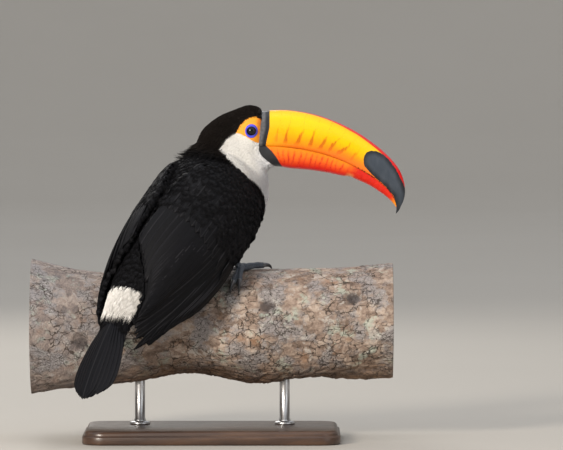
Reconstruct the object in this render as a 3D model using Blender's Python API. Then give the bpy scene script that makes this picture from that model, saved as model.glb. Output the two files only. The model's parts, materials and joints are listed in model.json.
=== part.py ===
"""A life-size toco toucan perched on a cut length of branch, held by a plain display stand.

Metres, +Z up. The origin is the centre of the stand base's underside. +X runs along the branch,
the way the bill points, and +Y is the side that the bird's body faces towards. Lengths below are
in millimetres and angles in degrees. A heading turns from +X towards +Y, a pitch rises from level.
"""

import math
from collections import namedtuple

import bmesh
import bpy
from mathutils import Vector

MM = 0.001
GAP = 0.3  # between solids that meet

# The trunk's own frame: an origin at the root of the tail, and the way the trunk points.
TAIL_ROOT = Vector((-95.0, -90.0, 165.0))
TRUNK_HEADING = 45.0
TRUNK_PITCH = 43.0

# Ahead of the tail root, rise, pitch, half width, reach to the back, reach to the belly.
TRUNK_STATIONS = (
    (-31.0, -3.0, 62.0, 25.0, 8.0, 9.0),
    (-10.0, -2.0, 54.0, 29.0, 17.0, 20.0),
    (18.0, 0.0, 46.0, 37.0, 25.0, 30.0),
    (50.0, 0.0, 43.0, 47.0, 37.0, 40.0),
    (85.0, 0.0, 43.0, 55.0, 45.0, 46.0),
    (125.0, 0.0, 43.0, 58.0, 49.0, 56.0),
    (160.0, 0.0, 43.0, 58.0, 51.0, 66.0),
    (192.0, 0.0, 44.0, 55.0, 49.5, 71.0),
    (214.0, 1.0, 47.0, 50.0, 46.5, 66.0),
)

# Neck and head: place x, z, heading, pitch, half width, reach up, reach down, in the head's
# plane. The last row is the edge of the feathers round the bill.
HEAD_PLANE_Y = 25.0
NECK_STATIONS = (
    (24.0, 321.8, 20.0, 59.4, 38.0, 49.5, 49.5),
    (27.7, 332.6, 8.0, 52.8, 34.5, 49.0, 48.0),
)
HEAD_STATIONS = (
    (36.1, 342.8, 0.0, 41.7, 31.5, 45.5, 45.5),
    (46.9, 349.5, 0.0, 28.7, 29.0, 41.7, 41.7),
    (56.0, 353.8, 0.0, 17.1, 26.5, 39.3, 39.3),
    (64.9, 352.3, 0.0, 6.0, 23.0, 33.4, 33.4),
)
BODY_SIDES = 26
BODY_STEPS = 2  # rings for each station
TRUNK_SQUARENESS = 2.2
HEAD_SQUARENESS = 2.5

# The bill: the mouth's corner, then stations along the gape line from it: distance, downward
# slope, depth of the upper and of the lower mandible, half width.
MOUTH_CORNER = Vector((54.5, HEAD_PLANE_Y, 343.8))
BILL_STATIONS = (
    (0.0, 0.0, 40.5, 24.6, 20.0),
    (16.0, 2.0, 42.0, 25.0, 20.8),
    (34.0, 6.0, 43.0, 25.2, 20.5),
    (61.0, 12.0, 42.1, 23.4, 19.2),
    (99.0, 22.5, 37.8, 18.6, 16.6),
    (119.0, 28.0, 34.7, 14.3, 14.8),
    (139.0, 33.4, 31.2, 11.4, 12.6),
    (159.0, 43.5, 25.6, 9.2, 10.0),
    (175.4, 62.0, 15.6, 5.6, 7.0),
    (187.0, 84.0, 5.4, 1.2, 3.6),
)
BILL_TIP_BEYOND = 8.0
BASE_LEAN_UPPER = 7.6  # how far the upper base runs forward at the culmen
BASE_LEAN_LOWER = 20.0  # how far the lower base runs forward at its keel
BASE_LEAN_FADES_BY = 40.0
RING_BEHIND_BILL = 2.0
BILL_SQUARENESS = 2.35

EYE_RADIUS = 7.0
EYE_PLACE = (46.2, 361.5)
EYE_OFF_PLANE = 21.6

# The folded wing over the trunk: ahead of the tail root, half width, reach to the back, depth
# of the hanging side, angle of the upper edge and of the lower edge from the back, thickness.
WING_STATIONS = (
    (-47.0, 29.0, 22.0, 100.0, 103.0, 110.0, 1.6),
    (-35.0, 33.0, 22.0, 103.0, 84.0, 113.0, 3.0),
    (-12.0, 40.0, 24.0, 106.0, 64.0, 115.0, 4.5),
    (18.0, 49.0, 33.0, 109.0, 36.0, 117.0, 5.5),
    (50.0, 59.0, 46.0, 110.0, 8.0, 118.0, 6.5),
    (85.0, 64.0, 54.0, 110.0, 5.0, 118.0, 7.0),
    (125.0, 66.0, 57.0, 110.0, 5.0, 118.0, 7.5),
    (165.0, 65.0, 59.0, 109.0, 14.0, 116.0, 7.5),
    (190.0, 61.0, 54.0, 105.0, 36.0, 110.0, 6.0),
    (204.0, 57.5, 50.0, 99.0, 64.0, 97.0, 2.5),
)
WING_EDGE_THICKNESS = 1.2
LEFT_WING_TUCK = 16.0  # the left wing's lower edge is held higher, clear of the perch
LEFT_TIP_DROP = 30.0  # its tip lies lower than the right one's, behind the rump
LEFT_TIP_DROP_TO = 30.0
WING_POINTS = 8

# The tail: distance along it, half width, crown of its roof, thickness.
TAIL_RISE = 2.0  # above the middle of the trunk's last ring
TAIL_STATIONS = (
    (0.0, 25.0, 6.0, 6.0),
    (30.0, 31.0, 6.0, 5.0),
    (56.0, 34.5, 5.5, 4.0),
    (78.0, 34.0, 5.0, 3.2),
    (92.0, 28.0, 4.5, 2.6),
    (99.0, 16.0, 3.5, 2.0),
)

# The branch along X: place, height of its axis, radius.
BRANCH_STATIONS = (
    (-212.0, 130.7, 81.0),
    (-165.0, 127.5, 72.5),
    (-122.0, 129.0, 66.4),
    (-60.0, 133.4, 62.0),
    (-10.0, 134.3, 60.8),
    (50.0, 130.7, 68.2),
    (100.0, 134.0, 66.0),
    (150.0, 135.5, 65.6),
    (212.0, 139.0, 67.6),
)
BRANCH_Y = 28.0
BRANCH_SIDES = 26
BRANCH_LUMP = 1.6

# Legs: the middle of each foot on the branch, by its place along it and its angle from the
# branch's top towards +Y, then how the shank rises from it.
FOOT_PLACES = {"right": (33.0, -13.0), "left": (-4.0, 15.0)}
SHANK_RUN = Vector((-0.5, -0.5, 0.72))
SHANK_LENGTH = 46.0
SHANK_RADIUS = 4.2
KNUCKLE_LENGTH = 12.0  # the shank's lowest part, one piece with the foot
THIGH_LENGTH = 40.0
THIGH_SHARE = 0.62  # of the shank that the thigh's feathers cover
THIGH_RADIUS = 17.0
THIGH_CUFF_RADIUS = 6.5
TOE_RADIUS = 4.3
TOE_SWELLS = (1.0, 0.9, 1.0, 0.85, 0.93, 0.72)  # its pads and the creases between them
CLAW_LENGTH = 16.0
CLAW_RADIUS = 2.3
CLAW_START = 1.0  # past the toe's end
# Toe: heading, length. The first two point forward, the others backward.
TOES = {
    "front_inner": (78.0, 27.0),
    "front_outer": (42.0, 36.0),
    "back_outer": (256.0, 35.0),
    "back_inner": (268.0, 32.0),
}

BASE_SIZE = Vector((300.0, 200.0, 16.0))
BASE_CORNER_RADIUS = 26.0
BASE_EDGE = 2.0
ROD_RADIUS = 6.0
ROD_SPACING = 170.0
ROD_SEAT_IN_BASE = 9.0
ROD_SEAT_IN_PERCH = 26.0

Frame = namedtuple("Frame", "place ahead side up")


# ---------------------------------------------------------------- scene and materials
def cleared_scene():
    for old in list(bpy.data.objects):
        bpy.data.objects.remove(old)


def new_collection(name):
    made = bpy.data.collections.new(name)
    bpy.context.scene.collection.children.link(made)
    return made


def material(name, colour, roughness, metallic=0.0):
    made = bpy.data.materials.new(name)
    made.use_nodes = True
    shader = made.node_tree.nodes["Principled BSDF"]
    shader.inputs["Base Color"].default_value = (*colour, 1.0)
    shader.inputs["Roughness"].default_value = roughness
    shader.inputs["Metallic"].default_value = metallic
    return made


# ---------------------------------------------------------------- shape helpers
def eased(rows, steps):
    """Rows of numbers with others set between them, on a smooth curve through them all."""
    last = len(rows) - 1
    out = []
    for i in range(last):
        before = rows[max(i - 1, 0)]
        after = rows[min(i + 2, last)]
        for k in range(steps):
            t = k / steps
            out.append(tuple(
                0.5 * (2 * b + (c - a) * t + (2 * a - 5 * b + 4 * c - d) * t * t
                       + (3 * b - a - 3 * c + d) * t ** 3)
                for a, b, c, d in zip(before, rows[i], rows[i + 1], after)
            ))
    out.append(tuple(float(value) for value in rows[last]))
    return out


def frame_at(place, heading, pitch):
    turn = math.radians(heading)
    lift = math.radians(pitch)
    ahead = Vector((math.cos(turn) * math.cos(lift), math.sin(turn) * math.cos(lift), math.sin(lift)))
    side = Vector((math.sin(turn), -math.cos(turn), 0.0))
    return Frame(Vector(place), ahead, side, side.cross(ahead))


def signed_power(value, power):
    return math.copysign(abs(value) ** power, value)


def oval(frame, half_width, up, down, sides, squareness=2.0):
    """A ring from the top, round by the right side. It may reach further up than down."""
    points = []
    for i in range(sides):
        angle = 2 * math.pi * i / sides
        across = half_width * signed_power(math.sin(angle), 2 / squareness)
        reach = up if math.cos(angle) > 0 else down
        rise = reach * signed_power(math.cos(angle), 2 / squareness)
        points.append(frame.place + frame.side * across + frame.up * rise)
    return points


def lofted(name, rings, collection, finish, from_edge=False):
    """One closed body through rings of equal count. Strips across it close each end.

    A ring starts in the middle of its top, or at one edge if it runs out along one face and
    back along the other.
    """
    count = len(rings[0])
    mesh = bmesh.new()
    loops = [[mesh.verts.new(point * MM) for point in ring] for ring in rings]
    for one, other in zip(loops, loops[1:]):
        for i in range(count):
            j = (i + 1) % count
            mesh.faces.new((one[i], one[j], other[j], other[i]))
    back = 1 if from_edge else 0
    for loop in (loops[0], loops[-1]):
        for i in range(count // 2 - back):
            opposite = (count - i - back) % count
            corners = [loop[i], loop[i + 1], loop[opposite - 1], loop[opposite]]
            mesh.faces.new(list(dict.fromkeys(corners)))
    bmesh.ops.recalc_face_normals(mesh, faces=mesh.faces[:])
    bmesh.ops.triangulate(mesh, faces=mesh.faces[:])
    return new_object(name, mesh, collection, finish)


def new_object(name, mesh, collection, finish):
    data = bpy.data.meshes.new(name)
    mesh.to_mesh(data)
    mesh.free()
    data.shade_smooth()
    data.set_sharp_from_angle(angle=math.radians(50))
    data.materials.append(finish)
    made = bpy.data.objects.new(name, data)
    collection.objects.link(made)
    return made


def as_cutter(obj):
    obj.hide_render = True
    obj.display_type = "WIRE"
    return obj


def combined(obj, other, operation):
    change = obj.modifiers.new(f"{operation.lower()}_{other.name}", "BOOLEAN")
    change.operation = operation
    change.solver = "EXACT"
    change.object = other


def shifted(ring, step):
    return [point + step for point in ring]


# ---------------------------------------------------------------- body
def trunk_frame():
    return frame_at(TAIL_ROOT, TRUNK_HEADING, TRUNK_PITCH)


def trunk_rows():
    """Trunk stations as world rows: x, y, z, heading, pitch, half width, up, down, squareness."""
    base = trunk_frame()
    rows = []
    for ahead, rise, pitch, half_width, back, belly in TRUNK_STATIONS:
        place = base.place + base.ahead * ahead + base.up * rise
        rows.append((*place, TRUNK_HEADING, pitch, half_width, back, belly, TRUNK_SQUARENESS))
    return rows


def head_rows(stations):
    return [(x, HEAD_PLANE_Y, z, *rest, HEAD_SQUARENESS) for x, z, *rest in stations]


def body_ring(row, grow=0.0):
    x, y, z, heading, pitch, half_width, up, down, squareness = row
    frame = frame_at((x, y, z), heading, pitch)
    return oval(frame, half_width + grow, up + grow, down + grow, BODY_SIDES, squareness)


def body_rows():
    """All rows from tail to bill, and the indices where the neck and the head begin."""
    rows = trunk_rows() + head_rows(NECK_STATIONS) + head_rows(HEAD_STATIONS)
    neck = (len(TRUNK_STATIONS) - 1) * BODY_STEPS
    return eased(rows, BODY_STEPS), neck, neck + len(NECK_STATIONS) * BODY_STEPS


def past_gap(row):
    frame = frame_at(row[:3], row[3], row[4])
    return shifted(body_ring(row), frame.ahead * GAP)


def bill_base_x(z, low, top):
    """Where the slanting base of the bill is, at a height between its keel and its culmen."""
    if z > MOUTH_CORNER.z:
        lean = BASE_LEAN_UPPER * (z - MOUTH_CORNER.z) / (top - MOUTH_CORNER.z)
    else:
        lean = BASE_LEAN_LOWER * (MOUTH_CORNER.z - z) / (MOUTH_CORNER.z - low)
    return MOUTH_CORNER.x + lean


def fitted_to_bill(rings):
    """The foremost ring laid on the bill's base, and those behind it kept clear of it in turn."""
    top = max(point.z for point in rings[-1])
    low = min(point.z for point in rings[-1])
    nearest = min(abs(point.z - MOUTH_CORNER.z) for point in rings[-1])
    for point in rings[-1]:
        if abs(point.z - MOUTH_CORNER.z) < nearest + GAP:  # one each side sits at the mouth's corner
            point.z = MOUTH_CORNER.z
    fitted = []
    for behind, ring in enumerate(reversed(rings)):
        moved = []
        for point in ring:
            limit = bill_base_x(min(max(point.z, low), top), low, top) - behind * RING_BEHIND_BILL
            x = limit if behind == 0 else min(point.x, limit)
            moved.append(Vector((x, point.y, point.z)))
        fitted.append(moved)
    return fitted[::-1]


def body(collection, feather):
    rows, neck, head = body_rows()
    lofted("trunk", [body_ring(row) for row in rows[:neck + 1]], collection, feather)
    neck_rings = [past_gap(rows[neck])] + [body_ring(row) for row in rows[neck + 1:head + 1]]
    lofted("neck", neck_rings, collection, feather)
    head_rings = fitted_to_bill([body_ring(row) for row in rows[head + 1:]])
    return lofted("head", [past_gap(rows[head])] + head_rings, collection, feather)


def body_room(name, collection, finish):
    """The trunk and neck a gap larger, to cut the wings and thighs that lie against them."""
    rows, neck, head = body_rows()
    rings = [body_ring(row, GAP * 1.5) for row in rows[:head + 1]]
    return as_cutter(lofted(name, rings, collection, finish))


# ---------------------------------------------------------------- eyes
def ball(name, centre, radius, collection, finish, segments):
    mesh = bmesh.new()
    bmesh.ops.create_uvsphere(mesh, u_segments=segments, v_segments=segments // 2, radius=radius * MM)
    made = new_object(name, mesh, collection, finish)
    made.location = centre * MM
    made.rotation_euler = (math.radians(90), 0.0, 0.0)
    return made


def eyes(head, collection, cutters, finish):
    for side, way in (("right", -1), ("left", 1)):
        x, z = EYE_PLACE
        centre = Vector((x, HEAD_PLANE_Y + way * EYE_OFF_PLANE, z))
        ball(f"eye_{side}", centre, EYE_RADIUS, collection, finish, 14)
        socket = ball(f"socket_{side}", centre, EYE_RADIUS + 2 * GAP, cutters, finish, 14)
        combined(head, as_cutter(socket), "DIFFERENCE")


# ---------------------------------------------------------------- bill
def gape_points(rows):
    """Where the gape line is at each row, walked along its slope."""
    place = MOUTH_CORNER.copy()
    out = [place.copy()]
    for one, other in zip(rows, rows[1:]):
        slope = math.radians((one[1] + other[1]) / 2)
        place += Vector((math.cos(slope), 0.0, -math.sin(slope))) * (other[0] - one[0])
        out.append(place.copy())
    return out


def mandible(name, upper, collection, finish):
    rows = eased(BILL_STATIONS, 2)
    sides = 20 if upper else 16
    lean_most = BASE_LEAN_UPPER if upper else BASE_LEAN_LOWER
    rings = []
    for row, place in zip(rows, gape_points(rows)):
        along, slope, upper_depth, lower_depth, half_width = row
        frame = frame_at(place, 0.0, -slope)
        depth = upper_depth if upper else lower_depth
        lean = lean_most * max(0.0, 1 - along / BASE_LEAN_FADES_BY)
        narrowing = 1.0 if upper else 0.94
        half_gap = frame.up * (GAP / 2 if upper else -GAP / 2)
        ring = []
        for i in range(sides):
            turn = math.pi * i / (sides - 1)
            across = half_width * narrowing * signed_power(math.cos(turn), 2 / BILL_SQUARENESS)
            rise = signed_power(math.sin(turn), 2 / BILL_SQUARENESS)
            forward = Vector((lean * rise + GAP, 0.0, 0.0))
            reach = frame.up * (depth * rise * (1 if upper else -1))
            ring.append(frame.place + half_gap + frame.side * across + reach + forward)
        rings.append(ring)
    if upper:
        hook = rows[-1]
        frame = frame_at(gape_points(rows)[-1], 0.0, -hook[1])
        point = frame.place + frame.ahead * BILL_TIP_BEYOND + frame.up * hook[2] * 0.1
        rings.append([point + (old - frame.place) * 0.22 for old in rings[-1]])
    return lofted(name, rings, collection, finish, from_edge=True)


# ---------------------------------------------------------------- wings and tail
def wing_ring(row, way, base):
    ahead, half_width, back, hang, top_angle, low_angle, thickness = row
    centre = base.place + base.ahead * ahead
    if way < 0:
        behind = min(1.0, max(0.0, (LEFT_TIP_DROP_TO - ahead) / (LEFT_TIP_DROP_TO - WING_STATIONS[0][0])))
        top_angle += LEFT_TIP_DROP * behind * (1 - behind * 0.6)
        low_angle -= LEFT_WING_TUCK * (1 - behind)
        top_angle = min(top_angle, low_angle - 7.0)
    outer = []
    inner = []
    for i in range(WING_POINTS):
        share = i / (WING_POINTS - 1)
        angle = math.radians(top_angle + (low_angle - top_angle) * share)
        reach = back if math.cos(angle) > 0 else hang
        across = math.sin(angle)
        rise = math.cos(angle)
        edge = min(WING_EDGE_THICKNESS, thickness)
        depth = edge + (thickness - edge) * math.sin(math.pi * share) ** 0.6
        shell = Vector((half_width * across, reach * rise))
        lining = Vector(((half_width - depth) * across, (reach - depth) * rise))
        outer.append(shell)
        inner.append(lining)
    return [
        centre + base.side * (way * point.x) + base.up * point.y
        for point in outer + inner[::-1]
    ]


def wing(side, collection, room, finish):
    way = 1 if side == "right" else -1
    base = trunk_frame()
    rings = [wing_ring(row, way, base) for row in eased(WING_STATIONS, 2)]
    made = lofted(f"wing_{side}", rings, collection, finish, from_edge=True)
    combined(made, room, "DIFFERENCE")
    return made


def tail(collection, finish):
    trunk_end = trunk_rows()[0]
    start = frame_at(trunk_end[:3], trunk_end[3], trunk_end[4])
    half_count = 8
    rings = []
    for distance, half_width, crown, thickness in eased(TAIL_STATIONS, 2):
        centre = start.place + start.up * TAIL_RISE - start.ahead * (distance + GAP)
        face = []
        back = []
        for i in range(half_count):
            share = -1 + 2 * i / (half_count - 1)
            roof = crown * (1 - share * share) - crown * 0.5
            edge = thickness * (1 - 0.55 * share * share)
            spot = centre + start.side * (half_width * share)
            face.append(spot + start.up * (roof + edge / 2))
            back.append(spot + start.up * (roof - edge / 2))
        rings.append(face + back[::-1])
    return lofted("tail", rings, collection, finish, from_edge=True)


# ---------------------------------------------------------------- perch
def branch_row(x):
    """Height of the axis and radius of the branch at x, between its stations."""
    rows = eased(BRANCH_STATIONS, 6)
    for one, other in zip(rows, rows[1:]):
        if x <= other[0]:
            break
    share = (x - one[0]) / (other[0] - one[0])
    return one[1] + (other[1] - one[1]) * share, one[2] + (other[2] - one[2]) * share


def bark_point(x, angle, lift=0.0):
    """On the branch at x, at an angle from its top towards +Y, lifted off it."""
    height, radius = branch_row(x)
    turn = math.radians(angle)
    lump = BRANCH_LUMP * (math.sin(3 * turn + x / 38) + math.sin(5 * turn - x / 23)) * abs(math.sin(turn / 2))
    reach = radius + lump + lift
    return Vector((x, BRANCH_Y + reach * math.sin(turn), height + reach * math.cos(turn)))


def branch_ring(x, grow=0.0):
    return [bark_point(x, -360 * i / BRANCH_SIDES, grow) for i in range(BRANCH_SIDES)]


def perch(collection, cutters, finish):
    ends = BRANCH_STATIONS[0][0], BRANCH_STATIONS[-1][0]
    count = 18
    places = [ends[0] + (ends[1] - ends[0]) * i / count for i in range(count + 1)]
    made = lofted("perch", [branch_ring(x) for x in places], collection, finish)
    room = lofted("perch_room", [branch_ring(x, GAP * 1.5) for x in places], cutters, finish)
    as_cutter(room)
    return made, room


# ---------------------------------------------------------------- legs
def tube(name, points, radii, sides, collection, finish):
    rings = []
    for i, point in enumerate(points):
        run = points[min(i + 1, len(points) - 1)] - points[max(i - 1, 0)]
        run.normalize()
        side = run.cross(Vector((0.0, 0.0, 1.0)))
        if side.length < 0.2:
            side = run.cross(Vector((1.0, 0.0, 0.0)))
        side.normalize()
        frame = Frame(point, run, side, side.cross(run))
        rings.append(oval(frame, radii[i], radii[i], radii[i], sides))
    return lofted(name, rings, collection, finish)


def toe_points(x, angle, heading, length, lift, count):
    """Points along the bark from a foot's middle, the way that the toe heads."""
    radius = branch_row(x)[1]
    turn = math.radians(heading)
    out = []
    for i in range(count):
        run = length * i / (count - 1)
        swing = math.degrees(run * math.sin(turn) / (radius + lift))
        out.append(bark_point(x + run * math.cos(turn), angle + swing, lift))
    return out


def claw(name, x, angle, heading, start, collection, finish):
    """A hooked claw that leaves the toe's end, arches over and comes down to the bark."""
    radius = branch_row(x)[1]
    turn = math.radians(heading)
    count = 7
    points = []
    radii = []
    for i in range(count):
        share = i / (count - 1)
        run = start + CLAW_START + CLAW_LENGTH * math.sin(share * 1.35) / math.sin(1.35)
        lift = TOE_RADIUS * 0.95 + 3.2 * math.sin(share * math.pi * 0.8) - 3.4 * share
        swing = math.degrees(run * math.sin(turn) / (radius + lift))
        points.append(bark_point(x + run * math.cos(turn), angle + swing, lift))
        radii.append(CLAW_RADIUS * (1 - share) ** 0.7 + 0.35)
    return tube(name, points, radii, 8, collection, finish)


def leg(side, collection, cutters, room, perch_room, finishes):
    x, angle = FOOT_PLACES[side]
    way = 1 if side == "right" else -1
    heel = bark_point(x, angle, TOE_RADIUS)
    run = SHANK_RUN.normalized()
    ankle = heel + run * SHANK_LENGTH
    hip = ankle + trunk_frame().ahead * -6.0 + trunk_frame().up * THIGH_LENGTH
    cuff = ankle + (heel - ankle) * THIGH_SHARE
    middle = (hip + ankle) / 2
    thigh = tube(
        f"thigh_{side}", [hip, middle, ankle, cuff],
        [THIGH_RADIUS, THIGH_RADIUS, THIGH_RADIUS * 0.78, THIGH_CUFF_RADIUS], 12,
        collection, finishes["feather"],
    )
    combined(thigh, room, "DIFFERENCE")
    shank_top = cuff - run * GAP
    knuckle = heel + run * KNUCKLE_LENGTH
    shank_foot = knuckle + run * GAP
    tube(
        f"shank_{side}", [shank_top, (shank_top + shank_foot) / 2, shank_foot],
        [SHANK_RADIUS, SHANK_RADIUS * 0.88, SHANK_RADIUS * 1.1], 10, collection, finishes["leg"],
    )
    foot = ball(f"foot_{side}", heel, TOE_RADIUS * 1.25, collection, finishes["leg"], 12)
    joint = tube(
        f"knuckle_{side}", [heel, knuckle], [SHANK_RADIUS * 1.2, SHANK_RADIUS * 1.1], 10,
        cutters, finishes["leg"],
    )
    combined(foot, as_cutter(joint), "UNION")
    for toe, (heading, length) in TOES.items():
        turned = heading if way > 0 else 90.0 - heading
        points = toe_points(x, angle, turned, length, TOE_RADIUS * 0.85, len(TOE_SWELLS))
        radii = [TOE_RADIUS * swell for swell in TOE_SWELLS]
        part = tube(f"toe_{side}_{toe}", points, radii, 8, cutters, finishes["leg"])
        combined(foot, as_cutter(part), "UNION")
        claw(f"claw_{side}_{toe}", x, angle, turned, length, collection, finishes["claw"])
    combined(foot, perch_room, "DIFFERENCE")


# ---------------------------------------------------------------- stand
def box_plate(name, size, collection, finish):
    mesh = bmesh.new()
    bmesh.ops.create_cube(mesh, size=1.0)
    bmesh.ops.scale(mesh, vec=size * MM, verts=mesh.verts[:])
    bmesh.ops.translate(mesh, vec=(0.0, 0.0, size.z * MM / 2), verts=mesh.verts[:])
    upright = [edge for edge in mesh.edges if abs(edge.verts[0].co.z - edge.verts[1].co.z) > size.z * MM / 2]
    bmesh.ops.bevel(
        mesh, geom=upright, offset=BASE_CORNER_RADIUS * MM, segments=5, profile=0.5,
        affect="EDGES",
    )
    rim = [
        edge for edge in mesh.edges
        if min(vert.co.z for vert in edge.verts) > (size.z - 0.1) * MM
    ]
    bmesh.ops.bevel(mesh, geom=rim, offset=BASE_EDGE * MM, segments=2, profile=0.5, affect="EDGES")
    return new_object(name, mesh, collection, finish)


def upright_cylinder(name, x, low, high, radius, collection, finish):
    mesh = bmesh.new()
    bmesh.ops.create_cone(
        mesh, cap_ends=True, segments=24, radius1=radius * MM, radius2=radius * MM,
        depth=(high - low) * MM,
    )
    made = new_object(name, mesh, collection, finish)
    made.location = Vector((x, BRANCH_Y, (low + high) / 2)) * MM
    return made


def stand(perch_solid, collection, cutters, finishes):
    base = box_plate("stand_base", BASE_SIZE, collection, finishes["base"])
    for side, way in (("left", -1), ("right", 1)):
        x = way * ROD_SPACING / 2
        height, radius = branch_row(x)
        low = BASE_SIZE.z - ROD_SEAT_IN_BASE
        high = height - radius + ROD_SEAT_IN_PERCH
        upright_cylinder(f"stand_rod_{side}", x, low, high, ROD_RADIUS, collection, finishes["rod"])
        socket = upright_cylinder(
            f"rod_socket_{side}", x, low - GAP, high + GAP, ROD_RADIUS + GAP, cutters, finishes["rod"]
        )
        as_cutter(socket)
        combined(base, socket, "DIFFERENCE")
        combined(perch_solid, socket, "DIFFERENCE")


def main():
    cleared_scene()
    parts = new_collection("toucan")
    cutters = new_collection("cutters")
    finishes = {
        "feather": material("black_feather", (0.012, 0.012, 0.015), 0.6),
        "upper_bill": material("yellow_horn", (0.90, 0.50, 0.01), 0.3),
        "lower_bill": material("red_horn", (0.80, 0.12, 0.01), 0.3),
        "eye": material("dark_eye", (0.01, 0.008, 0.012), 0.08),
        "leg": material("blue_grey_skin", (0.10, 0.13, 0.18), 0.6),
        "claw": material("dark_claw", (0.03, 0.03, 0.035), 0.4),
        "bark": material("bark", (0.36, 0.27, 0.21), 0.9),
        "base": material("stained_wood", (0.10, 0.055, 0.03), 0.45),
        "rod": material("brushed_steel", (0.60, 0.60, 0.60), 0.35, 1.0),
    }
    head = body(parts, finishes["feather"])
    room = body_room("body_room", cutters, finishes["feather"])
    eyes(head, parts, cutters, finishes["eye"])
    mandible("bill_upper", True, parts, finishes["upper_bill"])
    mandible("bill_lower", False, parts, finishes["lower_bill"])
    wing("right", parts, room, finishes["feather"])
    wing("left", parts, room, finishes["feather"])
    tail(parts, finishes["feather"])
    perch_solid, perch_room = perch(parts, cutters, finishes["bark"])
    for side in FOOT_PLACES:
        leg(side, parts, cutters, room, perch_room, finishes)
    stand(perch_solid, parts, cutters, finishes)


main()
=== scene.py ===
import json
import math

import bmesh
import bpy
import numpy as np
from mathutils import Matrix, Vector, kdtree, noise
from mathutils.bvhtree import BVHTree

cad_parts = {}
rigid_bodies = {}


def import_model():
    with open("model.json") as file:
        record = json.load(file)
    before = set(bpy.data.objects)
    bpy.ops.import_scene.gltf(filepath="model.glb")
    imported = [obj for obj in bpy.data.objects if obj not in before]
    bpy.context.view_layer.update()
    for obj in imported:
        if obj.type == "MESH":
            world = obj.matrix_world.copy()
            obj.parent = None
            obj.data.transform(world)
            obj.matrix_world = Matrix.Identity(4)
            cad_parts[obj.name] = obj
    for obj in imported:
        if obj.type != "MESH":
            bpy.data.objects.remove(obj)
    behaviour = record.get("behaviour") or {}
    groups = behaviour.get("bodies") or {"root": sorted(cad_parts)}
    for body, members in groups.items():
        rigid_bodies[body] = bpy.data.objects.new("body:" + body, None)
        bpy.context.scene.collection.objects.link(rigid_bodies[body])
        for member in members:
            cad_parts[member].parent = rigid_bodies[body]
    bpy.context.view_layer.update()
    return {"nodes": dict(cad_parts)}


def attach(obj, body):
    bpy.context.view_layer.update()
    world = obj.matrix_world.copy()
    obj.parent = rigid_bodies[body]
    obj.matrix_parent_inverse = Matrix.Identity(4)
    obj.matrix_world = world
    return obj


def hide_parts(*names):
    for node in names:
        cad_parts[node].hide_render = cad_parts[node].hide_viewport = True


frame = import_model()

mm = 0.001
draw = np.random.default_rng(11)
print("frame loaded", len(frame["nodes"]), "nodes")


# small maths, all in millimetres until a mesh is made
def unit(v):
    return v / np.maximum(np.linalg.norm(v, axis=-1, keepdims=True), 1e-9)


def dot(a, b):
    return np.sum(a * b, axis=-1, keepdims=True)


def signedPower(value, power):
    return np.sign(value) * np.abs(value) ** power


def smoothStep(low, high, value):
    t = np.clip((value - low) / (high - low), 0.0, 1.0)
    return t * t * (3 - 2 * t)


def easedRows(rows, steps):
    # Catmull-Rom through rows of numbers
    rows = np.array(rows, float)
    last = len(rows) - 1
    out = []
    for i in range(last):
        a, b = rows[max(i - 1, 0)], rows[i]
        c, d = rows[i + 1], rows[min(i + 2, last)]
        for k in range(steps):
            t = k / steps
            out.append(0.5 * (2 * b + (c - a) * t + (2 * a - 5 * b + 4 * c - d) * t * t
                              + (3 * b - a - 3 * c + d) * t ** 3))
    out.append(rows[last])
    return np.array(out)


def rowAt(rows, key):
    # every column of a table, at a value of its first column
    return np.stack([np.interp(key, rows[:, 0], rows[:, k]) for k in range(rows.shape[1])], axis=-1)


def axesAt(heading, pitch):
    turn, lift = np.radians(heading), np.radians(pitch)
    ahead = np.stack([np.cos(turn) * np.cos(lift), np.sin(turn) * np.cos(lift), np.sin(lift)], axis=-1)
    side = np.stack([np.sin(turn), -np.cos(turn), np.zeros_like(turn)], axis=-1)
    return ahead, side, np.cross(side, ahead)


def edgeDistance(points, outline, closed=True):
    # signed distance in the plane from an outline, positive inside it
    outline = np.array(outline, float)
    ends = np.roll(outline, -1, axis=0) if closed else outline[1:]
    starts = outline if closed else outline[:-1]
    best = np.full(len(points), 1e9)
    inside = np.zeros(len(points), bool)
    for a, b in zip(starts, ends):
        run = b - a
        t = np.clip(((points - a) @ run) / (run @ run), 0, 1)
        best = np.minimum(best, np.linalg.norm(points - (a + t[:, None] * run), axis=1))
        if closed:
            crosses = (a[1] > points[:, 1]) != (b[1] > points[:, 1])
            slope = run[0] / run[1] if run[1] else 0.0
            inside ^= crosses & (points[:, 0] < a[0] + (points[:, 1] - a[1]) * slope)
    return np.where(inside, best, -best) if closed else best


# meshes
def newObject(name, data):
    made = bpy.data.objects.new(name, data)
    bpy.context.scene.collection.objects.link(made)
    return made


def meshObject(name, points, faces, *materials):
    data = bpy.data.meshes.new(name)
    data.from_pydata([tuple(p) for p in np.asarray(points) * mm], [], [tuple(f) for f in faces])
    data.validate()
    for material in materials:
        data.materials.append(material)
    data.shade_smooth()
    return newObject(name, data)


def bmeshObject(name, mesh):
    data = bpy.data.meshes.new(name)
    mesh.to_mesh(data)
    mesh.free()
    return newObject(name, data)


def ringFaces(rings, sides, capped=True):
    faces = []
    for a in range(0, (rings - 1) * sides, sides):
        for i in range(sides):
            j = (i + 1) % sides
            faces.append((a + i, a + j, a + sides + j, a + sides + i))
    if capped:
        faces += [tuple(range(sides))[::-1], tuple(range((rings - 1) * sides, rings * sides))]
    return faces


def faceOutward(obj):
    mesh = bmesh.new()
    mesh.from_mesh(obj.data)
    bmesh.ops.recalc_face_normals(mesh, faces=mesh.faces[:])
    mesh.to_mesh(obj.data)
    mesh.free()
    return obj


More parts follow.
